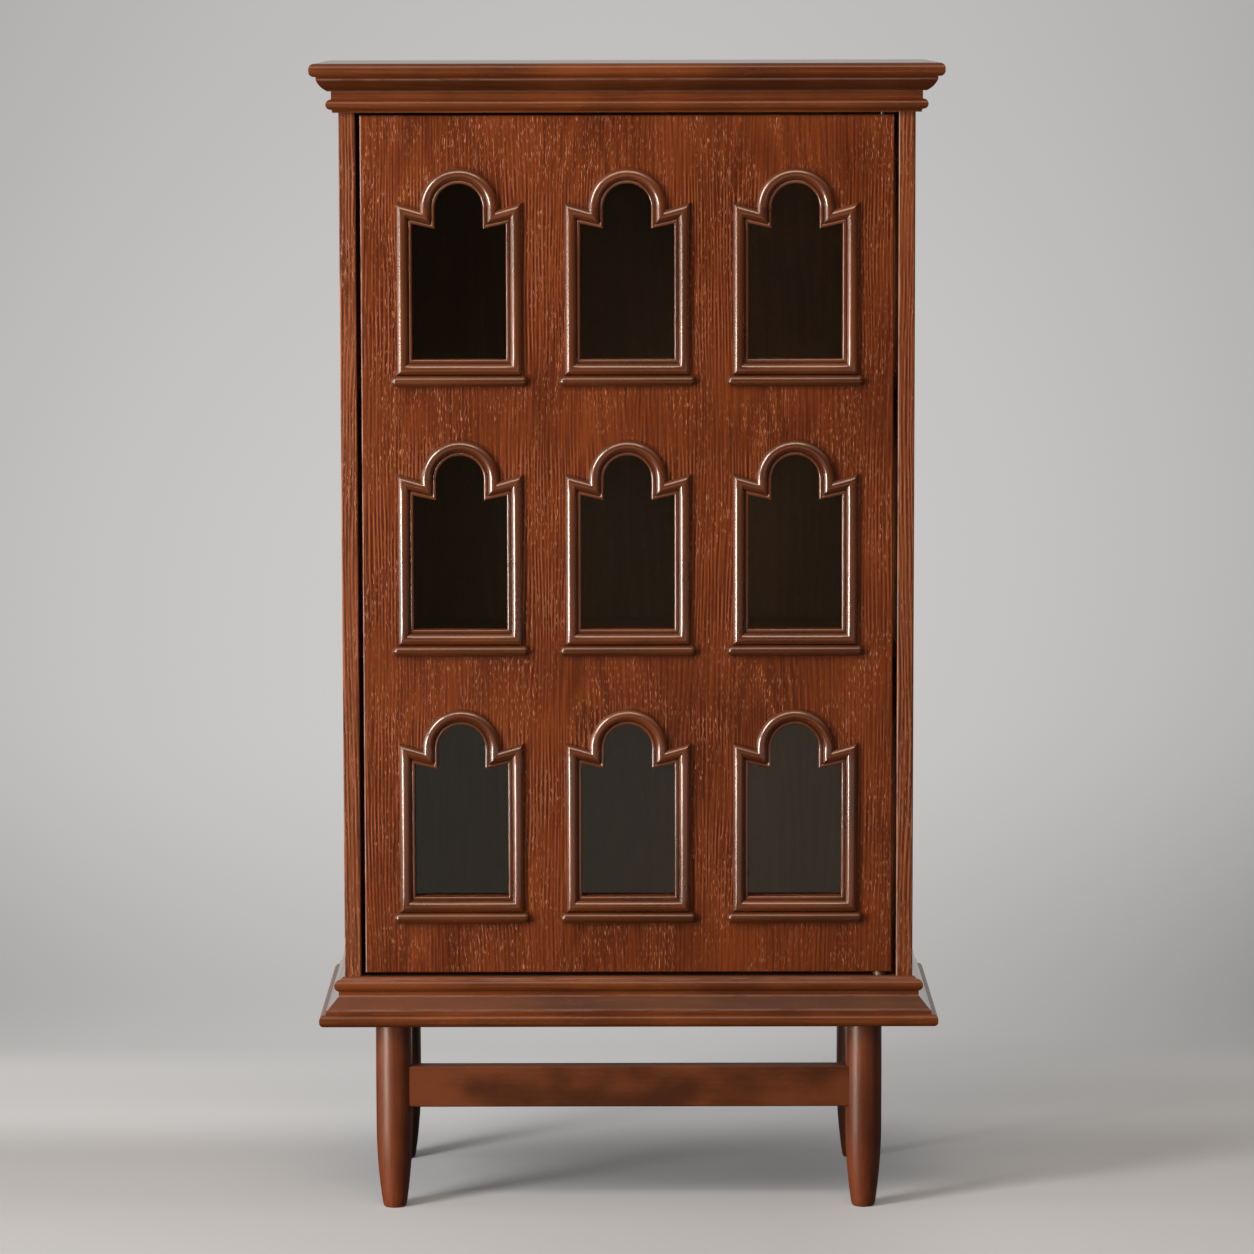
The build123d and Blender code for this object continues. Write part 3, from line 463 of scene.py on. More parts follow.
# The section, from the inner foot round to the outer: distance from the opening's edge, and
# height off the door
section = [(0.0, 0.0), (0.0, strip_edge)]
strip_half = strip_width / 2
for i in range(1, strip_steps):
    turn = pi * (1 - i / strip_steps)
    up = strip_edge + (strip_height - strip_edge) * sin(turn) ** strip_flatness
    section.append((strip_half + strip_half * cos(turn), up))
section += [(strip_width, groove_height * groove_lip), (groove_at, groove_height)]
bead_half = (moulding_width - groove_at) / 2
for i in range(1, bead_steps):
    turn = pi * (1 - i / bead_steps)
    up = groove_height + (bead_height - groove_height) * sin(turn)
    section.append((groove_at + bead_half + bead_half * cos(turn), up))
section += [(moulding_width, groove_height), (moulding_width, 0.0)]

# The lengths, from mitre to mitre: each end's corner and its side. None is the arch.
lengths = [
    ("foot", "foot", -1, 1),
    ("foot", "shoulder", 1, 1),
    ("shoulder", "tip", 1, 1),
    ("tip", "spring", 1, 1),
    None,
    ("spring", "tip", -1, -1),
    ("tip", "shoulder", -1, -1),
    ("shoulder", "foot", -1, -1),
]
arch = [pi * i / arch_steps for i in range(arch_steps + 1)]


def add_strip(shape, place, corner_rows, smooth):
    """Faces between two rows of points, each with its place on the board."""
    inner, outer = corner_rows
    for i in range(len(inner) - 1):
        corners = (inner[i], inner[i + 1], outer[i + 1], outer[i])
        face = shape.faces.new([c[0] for c in corners])
        face.smooth = smooth
        for loop, c in zip(face.loops, corners):
            loop[place] = c[1]


for row_number, row in enumerate(rows):
    for column_number, column in enumerate(columns):
        low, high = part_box(f"window_moulding_{row}_{column}")
        door_face = high.y
        foot = low.z + moulding_width
        middle_x = (low.x + high.x) / 2
        half_width = (high.x - low.x) / 2 - moulding_width
        arch_centre = high.z - moulding_width - arch_radius
        tip = arch_centre - moulding_width * mitre - tip_drop
        shoulder = tip + (half_width - arch_radius) * tan(shoulder_angle)

        def straight(first, last, side_first, side_last, d):
            """Points of one straight length on the line that runs d outside the opening."""
            corners = {
                "foot": (half_width + d, foot - d),
                "shoulder": (half_width + d, shoulder + mitre * d + ear_lift * d / moulding_width),
                "tip": (arch_radius + d, tip + mitre * d),
                "spring": (arch_radius + d, arch_centre),
            }
            x0, z0 = corners[first]
            x1, z1 = corners[last]
            x0 *= side_first
            x1 *= side_last
            steps = range(run_steps + 1)
            return [(x0 + (x1 - x0) * i / run_steps, z0 + (z1 - z0) * i / run_steps) for i in steps]

        shape = bmesh.new()
        place = shape.loops.layers.float_vector.new("board_place")
        seed = 10 * row_number + 3 * column_number
        for number, length in enumerate(lengths):
            grid = []
            reach = 0.0
            for k, (d, height) in enumerate(section):
                if k:
                    reach += hypot(d - section[k - 1][0], height - section[k - 1][1])
                if length:
                    line = straight(*length, d)
                else:
                    radius = arch_radius + d
                    line = [(radius * cos(turn), arch_centre + radius * sin(turn)) for turn in arch]
                carved = carved_from < k / len(section) < carved_to
                row_of_points = []
                for i, (x, z) in enumerate(line):
                    waver = 0.0
                    if carved:
                        waver = noise.noise(Vector((x * waver_up + seed, z * waver_up, d * waver_across)))
                    y = door_face - max(height + carve_waver * waver, 0.0)
                    if length:
                        along = hypot(x - line[0][0], z - line[0][1]) + (d if length[0] != "tip" else -d)
                    else:
                        along = arch[i] * (arch_radius + moulding_width / 2)
                    vertex = shape.verts.new((middle_x + x, y, z))
                    on_board = Vector((reach, seed * grain_step, along + seed + number * grain_jump))
                    row_of_points.append((vertex, on_board))
                grid.append(row_of_points)
            for neighbours in zip(grid, grid[1:]):
                add_strip(shape, place, neighbours, True)
            # The back, flat against the door
            add_strip(shape, place, (grid[-1], grid[0]), False)
        bmesh.ops.remove_doubles(shape, verts=shape.verts, dist=weld)
        bmesh.ops.recalc_face_normals(shape, faces=shape.faces)
        name = f"carved_moulding_{row}_{column}"
        mesh = bpy.data.meshes.new(name)
        shape.to_mesh(mesh)
        shape.free()
        mesh.set_sharp_from_angle(angle=moulding_crease)
        settle(name, mesh, moulding_oak, "door", "moulding_wood", f"window_moulding_{row}_{column}")

# --------------------------------------------------------------- window sills
# A half-round oak bar with domed ends under each opening, three in a row, glued on just
# below the moulding.
sill_flank = 0.0030
dome_segments = 48
dome_rings = 32
dome_middle = 0.001
sill_stain = {"dark": (0.048, 0.0095, 0.0009), "light": (0.118, 0.027, 0.0045)}
sill_finish = {"pores": 0.1, "streaks": 0.3, "rough": 0.32, "coat": 0.5, "gloss": 1.6}
sill_oak = stained_oak("sill_oak", "X", **sill_stain, **sill_finish)


def new_geometry(name, sizes, takes_mesh=False):
    """An empty node tree for shapes, with its sizes as named inputs."""
    tree = bpy.data.node_groups.new(name, "GeometryNodeTree")
    if takes_mesh:
        tree.interface.new_socket("Places", in_out="INPUT", socket_type="NodeSocketGeometry")
    for size, kind in sizes.items():
        tree.interface.new_socket(size, in_out="INPUT", socket_type="NodeSocket" + kind)
    tree.interface.new_socket("Shape", in_out="OUTPUT", socket_type="NodeSocketGeometry")
    return tree, tree.nodes.new("NodeGroupInput").outputs


def grow(tree, kind, inputs=None, **options):
    """One geometry node."""
    return shade(tree, kind, inputs, family="GeometryNode", **options)


def finish_shape(tree, shape, material):
    """The tree's end: real faces, smooth, in their material."""
    real = grow(tree, "RealizeInstances", {0: shape})
    smooth = grow(tree, "SetShadeSmooth", {0: real.outputs[0]})
    painted = grow(tree, "SetMaterial", {0: smooth.outputs[0], 2: material})
    tree.links.new(painted.outputs[0], tree.nodes.new("NodeGroupOutput").inputs[0])


def shape_from(name, tree, sizes, material, start=None):
    """The plain mesh that a tree makes from these sizes."""
    carrier = bpy.data.objects.new(name + "_carrier", start or bpy.data.meshes.new(name + "_start"))
    bpy.context.scene.collection.objects.link(carrier)
    grown = carrier.modifiers.new(name, "NODES")
    grown.node_group = tree
    for item in tree.interface.items_tree:
        if item.name in sizes:
            grown[item.identifier] = sizes[item.name]
    bpy.context.view_layer.update()
    evaluated = carrier.evaluated_get(bpy.context.evaluated_depsgraph_get())
    mesh = bpy.data.meshes.new_from_object(evaluated)
    mesh.name = name
    mesh.materials.clear()
    mesh.materials.append(material)
    mesh.polygons.foreach_set("material_index", [0] * len(mesh.polygons))
    bpy.data.objects.remove(carrier)
    return mesh


sill_sizes = {"Length": "Float", "Height": "Float", "Projection": "Float", "Flank": "Float",
              "Pitch Across": "Float", "Pitch Up": "Float", "Middle": "Vector"}
tree, size = new_geometry("half_round_sills", sill_sizes)
ball = grow(tree, "MeshUVSphere", {"Segments": dome_segments, "Rings": dome_rings, "Radius": 1.0})
ball = grow(tree, "Transform", {0: ball.outputs[0], "Rotation": (0, pi / 2, 0)})
x, y, z = shade(tree, "SeparateXYZ", {0: grow(tree, "InputPosition").outputs[0]}).outputs[:]
dome = maths(tree, "MULTIPLY", size["Height"], 0.5)
bar_half = maths(tree, "SUBTRACT", maths(tree, "MULTIPLY", size["Length"], 0.5), dome)
end = maths(tree, "SIGN", maths(tree, "SNAP", x, dome_middle))
beyond_middle = maths(tree, "MULTIPLY", end, bar_half)
bar_x = maths(tree, "MULTIPLY_ADD", x, dome, beyond_middle)
front_half = maths(tree, "LESS_THAN", y, dome_middle)
round_depth = maths(tree, "SUBTRACT", size["Projection"], size["Flank"])
bar_y = maths(tree, "SUBTRACT", maths(tree, "MULTIPLY", y, round_depth), size["Flank"])
bar_y = maths(tree, "MULTIPLY", bar_y, front_half)
bar_place = shade(tree, "CombineXYZ", {0: bar_x, 1: bar_y, 2: maths(tree, "MULTIPLY", z, dome)})
bar = grow(tree, "SetPosition", {0: ball.outputs[0], "Position": bar_place.outputs[0]})
across_all = maths(tree, "MULTIPLY", size["Pitch Across"], 2.0)
up_all = maths(tree, "MULTIPLY", size["Pitch Up"], 2.0)
counts = {"Vertices X": len(columns), "Vertices Y": len(rows)}
sites = grow(tree, "MeshGrid", {"Size X": across_all, "Size Y": up_all, **counts})
upright = {"Rotation": (pi / 2, 0, 0), "Translation": size["Middle"]}
sites = grow(tree, "Transform", {0: sites.outputs[0], **upright})
bars = grow(tree, "InstanceOnPoints", {"Points": sites.outputs[0], "Instance": bar.outputs[0]})
finish_shape(tree, bars.outputs[0], sill_oak)
sill_boxes = [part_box(f"window_sills_{row}") for row in rows]
low, high = sill_boxes[1]
pitch_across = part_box("glass_pane_middle_right")[0].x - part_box("glass_pane_middle_centre")[0].x
sizes = {
    "Length": high.x - low.x - 2 * pitch_across,
    "Height": high.z - low.z,
    "Projection": high.y - low.y,
    "Flank": sill_flank,
    "Pitch Across": pitch_across,
    "Pitch Up": sill_boxes[2][0].z - low.z,
    "Middle": ((low.x + high.x) / 2, high.y, (low.z + high.z) / 2),
}
mesh = shape_from("half_round_sills", tree, sizes, sill_oak)
sill_nodes = [f"window_sills_{row}" for row in rows]
settle("half_round_sills", mesh, sill_oak, "door", "moulding_wood", *sill_nodes)

# ----------------------------------------------------------------- glass panes
# Nine panes of clear float glass, faintly green, in rebates behind the door's openings. Old
# smears dull them a little.
glass_tint = (0.80, 0.84, 0.80, 1)
glass_shade = (0.60, 0.62, 0.58, 1)
glass_gleam = (1.0, 0.88, 0.72, 1)
glass_ior = 1.46
smear_size = (0.06, 0.06, 0.09)
smear_roughness = 0.012
glass = bpy.data.materials.new("window_glass")
glass.use_nodes = True
tree = glass.node_tree
pane = tree.nodes["Principled BSDF"]
pane.inputs["Base Color"].default_value = glass_tint
pane.inputs["Transmission Weight"].default_value = 1.0
pane.inputs["IOR"].default_value = glass_ior
pane.inputs["Specular Tint"].default_value = glass_gleam
smear = speckle(tree, shade(tree, "TexCoord").outputs["Object"], smear_size, 3.0)
tree.links.new(maths(tree, "MULTIPLY", smear, smear_roughness), pane.inputs["Roughness"])
# A lamp's light goes through without the bend that would cast a dark patch
clear = shade(tree, "BsdfTransparent", {"Color": glass_shade})
lamp_ray = shade(tree, "LightPath").outputs["Is Shadow Ray"]
passes = shade(tree, "MixShader", {0: lamp_ray, 1: pane.outputs[0], 2: clear.outputs[0]})
tree.links.new(passes.outputs[0], tree.nodes["Material Output"].inputs["Surface"])
dress(glass, *[f"glass_pane_{row}_{column}" for row in rows for column in columns])

# ------------------------------------------------------------- pivots, latch
# Zinc-plated steel pivots, pins and bolts, brass bushes and inserts, and a push latch of brown
# plastic under the top panel. Beech dowels join the panels.
zinc_grey = (0.40, 0.40, 0.39)
zinc_streak = (0.03, 0.0006, 0.0006)
brass_brown = (0.22, 0.175, 0.11)
brass_streak = (0.004, 0.004, 0.0005)
plate_darker = 0.8
plate_roughness = 0.2
plastic_grain = (0.0008, 0.0008, 0.0008)
plastic_dark = (0.030, 0.014, 0.009, 1)
plastic_light = (0.042, 0.021, 0.014, 1)
plastic_roughness = 0.5
beech_stain = {"dark": (0.45, 0.29, 0.15), "light": (0.60, 0.42, 0.25)}


def plated(name, colour, rough, streak):
    """Metal drawn or brushed along one axis."""
    material = bpy.data.materials.new(name)
    material.use_nodes = True
    tree = material.node_tree
    shader = tree.nodes["Principled BSDF"]
    place = shade(tree, "TexCoord").outputs["Object"]
    lines = speckle(tree, place, streak, 3.0)
    tint = blend(tree, lines, (*[c * plate_darker for c in colour], 1), (*colour, 1))
    tree.links.new(tint, shader.inputs["Base Color"])
    drawn = maths(tree, "MULTIPLY_ADD", lines, plate_roughness, rough - plate_roughness / 2)
    tree.links.new(drawn, shader.inputs["Roughness"])
    shader.inputs["Metallic"].default_value = 1.0
    return material


zinc = plated("zinc_plate", zinc_grey, rough=0.42, streak=zinc_streak)
brass = plated("turned_brass", brass_brown, rough=0.50, streak=brass_streak)
dress(zinc, "top_pivot_plate", "bottom_pivot_plate", "strike_plate")
dress(zinc, "latch_spring", "hanger_bolts", "shelf_pins")
dress(brass, "top_pivot_bush", "bottom_pivot_bush", "leg_inserts")
latch_plastic = bpy.data.materials.new("latch_plastic")
latch_plastic.use_nodes = True
tree = latch_plastic.node_tree
shader = tree.nodes["Principled BSDF"]
mould = speckle(tree, shade(tree, "TexCoord").outputs["Object"], plastic_grain)
tree.links.new(blend(tree, mould, plastic_dark, plastic_light), shader.inputs["Base Color"])
shader.inputs["Roughness"].default_value = plastic_roughness
dress(latch_plastic, "latch_housing", "latch_plunger")
dowel_beech = stained_oak("dowel_beech", "X", **beech_stain, pores=0.1, rough=0.6)
dress(dowel_beech, "case_dowels")

# --------------------------------------------------------------------- screws
# Countersunk steel screws with a cross recess: round the back panel, in the latch and the
# strike plate, and in the door's top and bottom edges. Each stopped at its own angle.
screw_full = 0.018
screw_head = 0.0030
screw_head_height = 0.0016
screw_core = 0.0010
screw_thread = 0.0005
thread_turns = 9.0
recess_long = 0.0034
recess_wide = 0.0007
recess_deep = 0.0022
screw_tip = 0.0030
screw_spin_seed = 7
head_sides = 32
core_sides = 16
thread_sides = 3
screw_crease = radians(30)
loose = 0.000001
at_end = 0.0001


def work_out(tree, kind, inputs, **options):
    """One function node of a geometry tree."""
    return shade(tree, kind, inputs, family="FunctionNode", **options)


def raised(tree, shape, height):
    """A shape moved up by a height, or down."""
    to_height = shade(tree, "CombineXYZ", {2: height}).outputs[0]
    return grow(tree, "Transform", {0: shape.outputs[0], "Translation": to_height})


screw_sizes = {"Head Radius": "Float", "Head Height": "Float", "Core Radius": "Float",
               "Full Length": "Float", "Tip": "Float", "Seed": "Int"}
tree, size = new_geometry("countersunk_screws", screw_sizes, takes_mesh=True)
cone = {"Vertices": head_sides, "Radius Top": size["Head Radius"], "Radius Bottom": size["Core Radius"]}
head = grow(tree, "MeshCone", {**cone, "Depth": size["Head Height"]})
head = raised(tree, head, maths(tree, "MULTIPLY", size["Head Height"], -1.0))
slots = []
for bar_size in ((recess_long, recess_wide, recess_deep), (recess_wide, recess_long, recess_deep)):
    slots.append(grow(tree, "MeshCube", {"Size": bar_size}))
cross = grow(tree, "MeshBoolean", {"Mesh 2": slots[0].outputs[0]}, operation="UNION", solver="EXACT")
tree.links.new(slots[1].outputs[0], cross.inputs["Mesh 2"])
recess = {"Mesh 1": head.outputs[0], "Mesh 2": cross.outputs[0]}
head = grow(tree, "MeshBoolean", recess, operation="DIFFERENCE", solver="EXACT")
beyond_core = maths(tree, "ADD", size["Head Height"], size["Tip"])
core_length = maths(tree, "SUBTRACT", size["Full Length"], beyond_core)
rod = {"Vertices": core_sides, "Radius": size["Core Radius"], "Depth": core_length}
core_middle = maths(tree, "SUBTRACT", maths(tree, "MULTIPLY", core_length, -0.5), size["Head Height"])
core = raised(tree, grow(tree, "MeshCylinder", rod), core_middle)
cone = {"Vertices": core_sides, "Radius Top": size["Core Radius"], "Radius Bottom": 0.0}
point = grow(tree, "MeshCone", {**cone, "Depth": size["Tip"]})
point = raised(tree, point, maths(tree, "MULTIPLY", size["Full Length"], -1.0))
coil = {"Resolution": core_sides, "Rotations": thread_turns, "Start Radius": size["Core Radius"],
        "End Radius": size["Core Radius"], "Height": core_length}
helix = grow(tree, "CurveSpiral", coil)
ridge = grow(tree, "CurvePrimitiveCircle", {"Resolution": thread_sides, "Radius": screw_thread})
swept = {"Curve": helix.outputs[0], "Profile Curve": ridge.outputs[0], "Fill Caps": True}
thread = grow(tree, "CurveToMesh", swept)
thread = raised(tree, thread, maths(tree, "SUBTRACT", size["Tip"], size["Full Length"]))
shank = grow(tree, "JoinGeometry", {0: core.outputs[0]})
tree.links.new(point.outputs[0], shank.inputs[0])
tree.links.new(thread.outputs[0], shank.inputs[0])
looks = grow(tree, "InputNamedAttribute", {"Name": "looks"}, data_type="FLOAT_VECTOR").outputs[0]
share = grow(tree, "InputNamedAttribute", {"Name": "share"}, data_type="FLOAT").outputs[0]
faced = work_out(tree, "AlignRotationToVector", {"Vector": looks}, axis="Z")
spin = work_out(tree, "RandomValue", {2: 0.0, 3: 2 * pi, "Seed": size["Seed"]}, data_type="FLOAT")
spin = work_out(tree, "AxisAngleToRotation", {"Axis": (0, 0, 1), "Angle": spin.outputs[1]})
spun = {0: faced.outputs[0], 1: spin.outputs[0]}
turned = work_out(tree, "RotateRotation", spun, rotation_space="LOCAL").outputs[0]
at_places = {"Points": size["Places"], "Rotation": turned}
heads = grow(tree, "InstanceOnPoints", {**at_places, "Instance": head.outputs[0]})
short = shade(tree, "CombineXYZ", {0: 1.0, 1: 1.0, 2: share}).outputs[0]
shanks = grow(tree, "InstanceOnPoints", {**at_places, "Instance": shank.outputs[0], "Scale": short})
both = grow(tree, "JoinGeometry", {0: heads.outputs[0]})
tree.links.new(shanks.outputs[0], both.inputs[0])
finish_shape(tree, both.outputs[0], zinc)


def screws_in(name):
    """Each screw of a CAD node: the middle of its head, the way the head looks, and its length."""
    shape = bmesh.new()
    shape.from_mesh(nodes[name].data)
    bmesh.ops.remove_doubles(shape, verts=shape.verts, dist=loose)
    rest = set(shape.verts)
    found = []
    for first in shape.verts:
        if first not in rest:
            continue
        rest.remove(first)
        screw = [first]
        for vertex in screw:
            for edge in vertex.link_edges:
                other = edge.other_vert(vertex)
                if other in rest:
                    rest.remove(other)
                    screw.append(other)
        spans = [(min(v.co[i] for v in screw), max(v.co[i] for v in screw)) for i in range(3)]
        axis = max(range(3), key=lambda i: spans[i][1] - spans[i][0])
        middle = Vector([(a + b) / 2 for a, b in spans])
        wide = []
        for end in spans[axis]:
            ring = [v.co - middle for v in screw if abs(v.co[axis] - end) < at_end]
            wide.append(max(abs(off[(axis + 1) % 3]) for off in ring))
        head_end = wide.index(max(wide))
        middle[axis] = spans[axis][head_end]
        looks = Vector((0, 0, 0))
        looks[axis] = (-1, 1)[head_end]
        found.append((tuple(middle), tuple(looks), spans[axis][1] - spans[axis][0]))
    shape.free()
    return sorted(found)


for word, body in (("case", "cabinet"), ("door", "door")):
    screws = screws_in(f"{word}_screws")
    start = bpy.data.meshes.new(f"{word}_screw_places")
    start.from_pydata([middle for middle, looks, length in screws], [], [])
    start.attributes.new("looks", "FLOAT_VECTOR", "POINT")
    start.attributes.new("share", "FLOAT", "POINT")
    for i, (middle, looks, length) in enumerate(screws):
        start.attributes["looks"].data[i].vector = looks
        start.attributes["share"].data[i].value = length / screw_full
    sizes = {"Head Radius": screw_head, "Head Height": screw_head_height, "Core Radius": screw_core,
             "Full Length": screw_full, "Tip": screw_tip, "Seed": screw_spin_seed}
    mesh = shape_from(f"countersunk_{word}_screws", tree, sizes, zinc, start)
    mesh.set_sharp_from_angle(angle=screw_crease)
    settle(f"countersunk_{word}_screws", mesh, zinc, body, "steel", f"{word}_screws")

# ------------------------------------------------------------ floor, backdrop
# A pale grey paper sweep: flat under the cabinet, curved up behind it. Its wall glows, painted light
# for lamps that stand out of sight, and fades to the sides. The floor glows too, painted light that is
# low under the cabinet and dims to its right, painting the cabinet's shadow with the lamps'; its colour
# is painted darker towards the wall and far left, and lighter to the right.
sweep_front = -5.2
sweep_wall = 1.10
sweep_round = 0.20
sweep_half = 6.0
sweep_top = 5.0
sweep_steps = 16
paper_dark = (0.445, 0.452, 0.462, 1)
paper_light = (0.475, 0.482, 0.492, 1)
paper_painted_shade_behind = (0.34, 0.344, 0.35, 1)
paper_glow = (1.0, 0.985, 0.965, 1)
paper_roughness = 0.85
haze_size = (0.9, 0.9, 0.9)
# Bands along x, y or z, each as where it starts and ends, and what it goes from and to
glow_centre = 0.17
glow_lean = -0.10
most_fallen = 0.6
fall_off_up = (-0.1, 0.6, 0.36, 0.21)
wall_rises = (-0.12, 0.45, 0.47, 0.603)
wall_fades = (0.65, 1.7, 1.0, 0.86)
painted_glow_under_cabinet = (0.18, 0.48, 0.065, 0.135)
painted_glow_behind_cabinet = (0.14, 0.44)
behind_glow = 0.26
painted_glow_near_wall = (0.5, 0.8, 0.0, 0.05)
painted_glow_before_cabinet = (-0.05, -0.25, 0.0, 0.03)
painted_shade_to_right = (0.05, 0.80, 1.0, 0.76)
floor_to_wall = (0.70, 1.06)
painted_shade_toward_wall = (0.0, 1.1)
painted_shade_far_left = (-1.4, -0.2, 0.90, 1.07)
painted_light_to_right = (0.0, 0.80, 1.0, 1.20)
held_back_share = 0.65
mirrored_floor = (-2.4, -1.5, 0.41, 0.03)

sweep_line = [(sweep_front, 0.0)]
for i in range(sweep_steps + 1):
    turn = pi / 2 * i / sweep_steps
    forward = sweep_wall - sweep_round + sweep_round * sin(turn)
    sweep_line.append((forward, sweep_round - sweep_round * cos(turn)))
sweep_line.append((sweep_wall, sweep_top))
points = [(side * sweep_half, y, z) for y, z in sweep_line for side in (-1, 1)]
faces = [(2 * i, 2 * i + 1, 2 * i + 3, 2 * i + 2) for i in range(len(sweep_line) - 1)]
mesh = bpy.data.meshes.new("paper_sweep")
mesh.from_pydata(points, [], faces)
mesh.shade_smooth()
sweep = bpy.data.objects.new("paper_sweep", mesh)
bpy.context.scene.collection.objects.link(sweep)
paper = bpy.data.materials.new("grey_paper")
paper.use_nodes = True
tree = paper.node_tree
shader = tree.nodes["Principled BSDF"]
spot = shade(tree, "TexCoord").outputs["Object"]
x, y, z = shade(tree, "SeparateXYZ", {0: spot}).outputs[:]
# The wall is brightest a little left of the middle, and falls off faster lower down
off_centre = maths(tree, "ADD", x, maths(tree, "MULTIPLY_ADD", z, glow_lean, glow_centre))
fall_off = maths(tree, "MULTIPLY", off_centre, off_centre)
fall_off = maths(tree, "MULTIPLY", fall_off, ramp(tree, z, *fall_off_up))
fall_off = maths(tree, "MINIMUM", fall_off, most_fallen)
wall_glow = maths(tree, "MULTIPLY", ramp(tree, z, *wall_rises), ramp(tree, z, *wall_fades))
wall_glow = maths(tree, "MULTIPLY", wall_glow, maths(tree, "SUBTRACT", 1.0, fall_off))
# Painted light and shadow: the floor's glow is low under the cabinet, a little higher just in front,
# higher behind it and near the wall, and dims to the right
floor_glow = ramp(tree, y, *painted_glow_behind_cabinet, ramp(tree, x, *painted_glow_under_cabinet), behind_glow)
floor_glow = maths(tree, "ADD", floor_glow, ramp(tree, y, *painted_glow_near_wall))
floor_glow = maths(tree, "ADD", floor_glow, ramp(tree, y, *painted_glow_before_cabinet))
floor_glow = maths(tree, "MULTIPLY", floor_glow, ramp(tree, x, *painted_shade_to_right))
up_the_wall = ramp(tree, y, *floor_to_wall)
along_the_floor = maths(tree, "SUBTRACT", 1.0, up_the_wall)
wall_glow = maths(tree, "MULTIPLY", wall_glow, up_the_wall)
glow = maths(tree, "ADD", wall_glow, maths(tree, "MULTIPLY", along_the_floor, floor_glow))
lit = blend(tree, speckle(tree, spot, haze_size, 4.0), paper_dark, paper_light)
# Painted shade and light: the paper's colour darkens towards the wall and far to the left, and lightens
# to the right
lit = blend(tree, ramp(tree, y, *painted_shade_toward_wall), lit, paper_painted_shade_behind)
painted_light_across = maths(tree, "MULTIPLY", ramp(tree, x, *painted_shade_far_left), ramp(tree, x, *painted_light_to_right))
lit = shade(tree, "VectorMath", {0: lit, 1: painted_light_across}, operation="MULTIPLY").outputs[0]
# Light that the paper sends back onto the cabinet is held down, and so is the mirror image of
# the floor close in front of it
paper_path = shade(tree, "LightPath")
held_back = maths(tree, "MULTIPLY", paper_path.outputs["Is Diffuse Ray"], held_back_share)
glow = maths(tree, "MULTIPLY", glow, maths(tree, "SUBTRACT", 1.0, held_back))
mirror_ray = maths(tree, "MULTIPLY", paper_path.outputs["Is Glossy Ray"], along_the_floor)
glow = blend(tree, mirror_ray, glow, ramp(tree, y, *mirrored_floor))
unlit = maths(tree, "MAXIMUM", mirror_ray, maths(tree, "MAXIMUM", up_the_wall, held_back))
lit = blend(tree, unlit, lit, (0.0, 0.0, 0.0, 1))
tree.links.new(lit, shader.inputs["Base Color"])
shader.inputs["Emission Color"].default_value = paper_glow
tree.links.new(glow, shader.inputs["Emission Strength"])
shader.inputs["Roughness"].default_value = paper_roughness
shader.inputs["Specular IOR Level"].default_value = 0.0
from_behind = shade(tree, "NewGeometry").outputs["Backfacing"]
unseen = shade(tree, "BsdfTransparent")
one_sided = shade(tree, "MixShader", {0: from_behind, 1: shader.outputs[0], 2: unseen.outputs[0]})
tree.links.new(one_sided.outputs[0], tree.nodes["Material Output"].inputs["Surface"])
mesh.materials.append(paper)

# --------------------------------------------------------------------- lights
# A large softbox, high at the front left, with another below it down to the floor, a weaker one
# far to the left and one overhead, in a dim room whose darkest part is behind the camera.
sheet_white = (1.0, 0.97, 0.94)
sheet_warm = (1.0, 0.77, 0.58)
at_windows = (0.0, -0.1, 0.8)
backdrop_grey = (0.50, 0.49, 0.48, 1)
room_grey = (0.15, 0.148, 0.145, 1)
dark_room = (0.060, 0.045, 0.032, 1)
low_room = (0.165, 0.125, 0.090, 1)
# Bands of the direction in which a mirrored ray leaves
ahead_from_left = (-0.035, -0.012, 0.45, 1.0)
ahead_to_right = (0.012, 0.032, 1.0, 0.58)
below_band = (-0.05, -0.10)
behind_band = (0.1, 0.6)
above_band = (0.25, 0.8)


def softbox(name, place, width, height, power, target=at_windows, colour=sheet_white):
    """A lamp behind a white sheet, turned to its target and out of the camera's sight."""
    sheet = bpy.data.lights.new(name, "AREA")
    sheet.shape = "RECTANGLE"
    sheet.size = width
    sheet.size_y = height
    sheet.energy = power
    sheet.color = colour
    lamp = bpy.data.objects.new(name, sheet)
    lamp.location = place
    lamp.rotation_euler = (Vector(target) - Vector(place)).to_track_quat("-Z", "Y").to_euler()
    lamp.visible_camera = False
    bpy.context.scene.collection.objects.link(lamp)


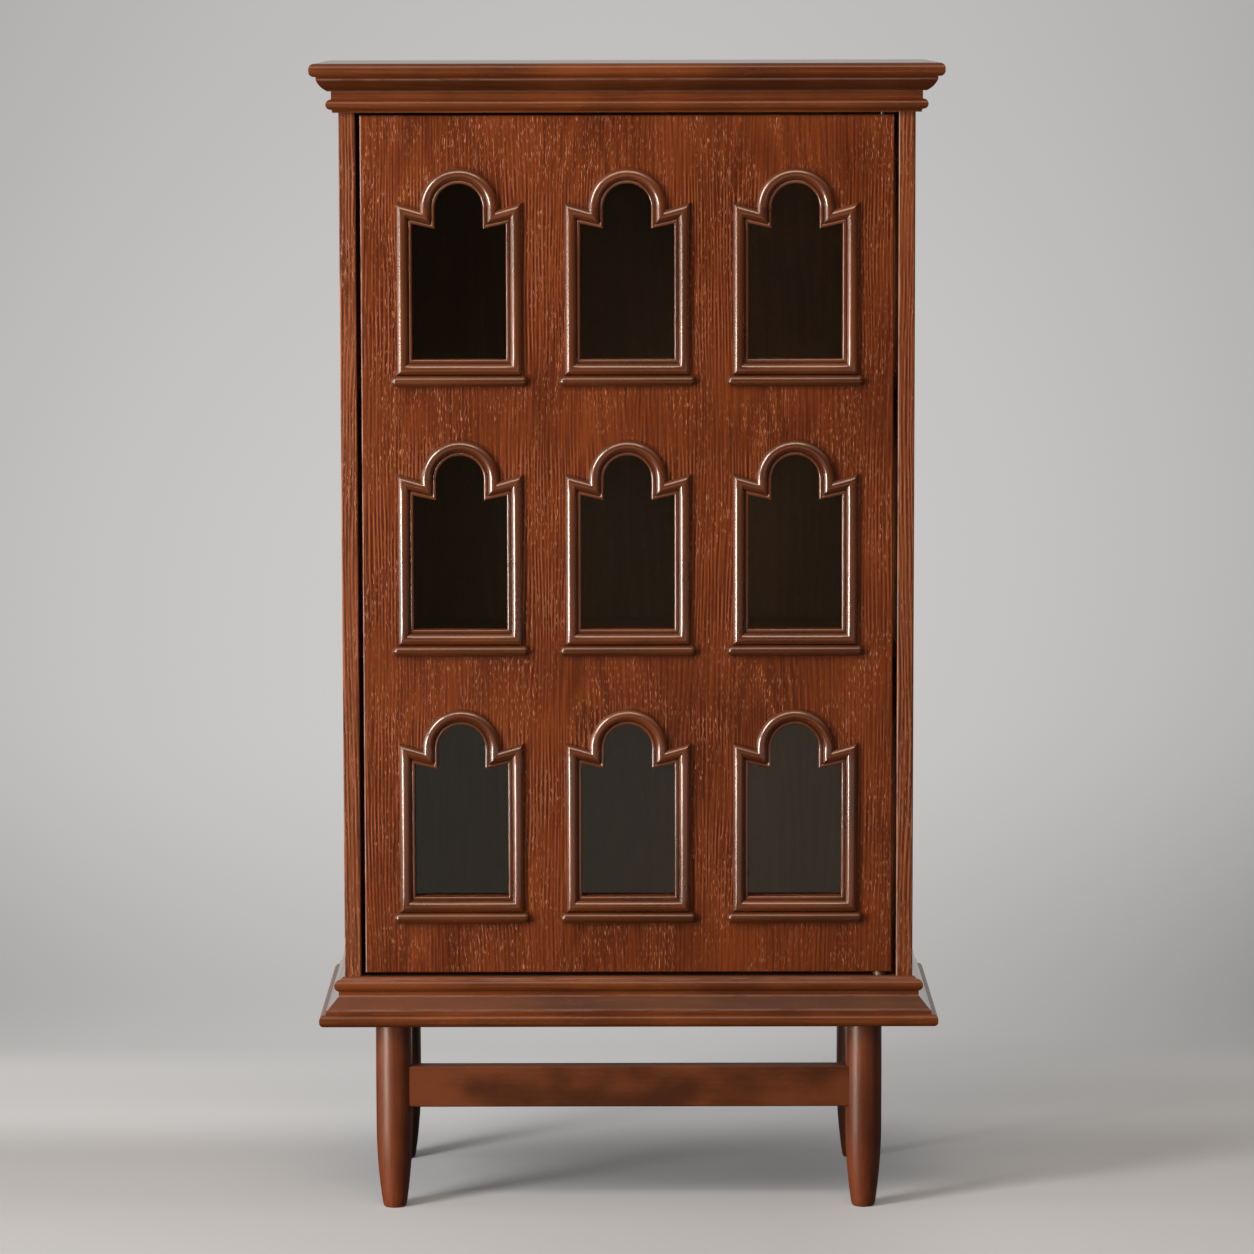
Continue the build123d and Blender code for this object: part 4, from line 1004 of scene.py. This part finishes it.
softbox("key_softbox", (-2.42, -2.30, 2.28), width=1.0, height=1.7, power=85.0)
softbox("low_softbox", (-2.35, -1.95, 0.46), width=0.55, height=0.85, power=56.0, target=(0.0, -0.1, 0.6))
softbox("side_softbox", (-3.00, -0.45, 0.78), width=1.6, height=1.4, power=19.0, target=(0.0, -0.1, 0.7))
softbox("top_softbox", (-0.20, -2.18, 3.10), width=2.4, height=0.85, power=30.0, colour=sheet_warm)

world = bpy.data.worlds.new("studio")
bpy.context.scene.world = world
world.use_nodes = True
tree = world.node_tree
direction = shade(tree, "TexCoord").outputs["Generated"]
sideways, toward_back, overhead = shade(tree, "SeparateXYZ", {0: direction}).outputs[:]
ahead = ramp(tree, sideways, *ahead_from_left)
ahead = maths(tree, "MULTIPLY", ahead, ramp(tree, sideways, *ahead_to_right))
low_ahead = maths(tree, "MULTIPLY", ramp(tree, overhead, *below_band), ahead)
mirrored = blend(tree, low_ahead, dark_room, low_room)
mirrored = blend(tree, ramp(tree, toward_back, *behind_band), mirrored, backdrop_grey)
mirrored = blend(tree, ramp(tree, overhead, *above_band), mirrored, backdrop_grey)
path = shade(tree, "LightPath")
sky = blend(tree, path.outputs["Is Glossy Ray"], room_grey, mirrored)
sky = blend(tree, path.outputs["Is Transmission Ray"], sky, mirrored)
sky = blend(tree, path.outputs["Is Camera Ray"], sky, backdrop_grey)
tree.links.new(sky, tree.nodes["Background"].inputs["Color"])

# --------------------------------------------------------------------- camera
# A long lens a little above the crown, looking slightly down and straight at the door. The
# focal length is in pixels of the frame, the angles are in degrees.
frame_pixels = 1254
focal_pixels = 5454
sensor_width = 36.0
camera_place = (-0.0012, -6.735, 1.475)
looks_down = 6.558
rolls = -0.113
camera_data = bpy.data.cameras.new("camera")
camera_data.sensor_width = sensor_width
camera_data.lens = sensor_width * focal_pixels / frame_pixels
camera = bpy.data.objects.new("camera", camera_data)
camera.location = camera_place
looking = Matrix.Rotation(radians(90 - looks_down), 3, "X") @ Matrix.Rotation(radians(rolls), 3, "Z")
camera.rotation_euler = looking.to_euler()
bpy.context.scene.collection.objects.link(camera)
bpy.context.scene.camera = camera
bpy.context.scene.view_settings.view_transform = "Standard"
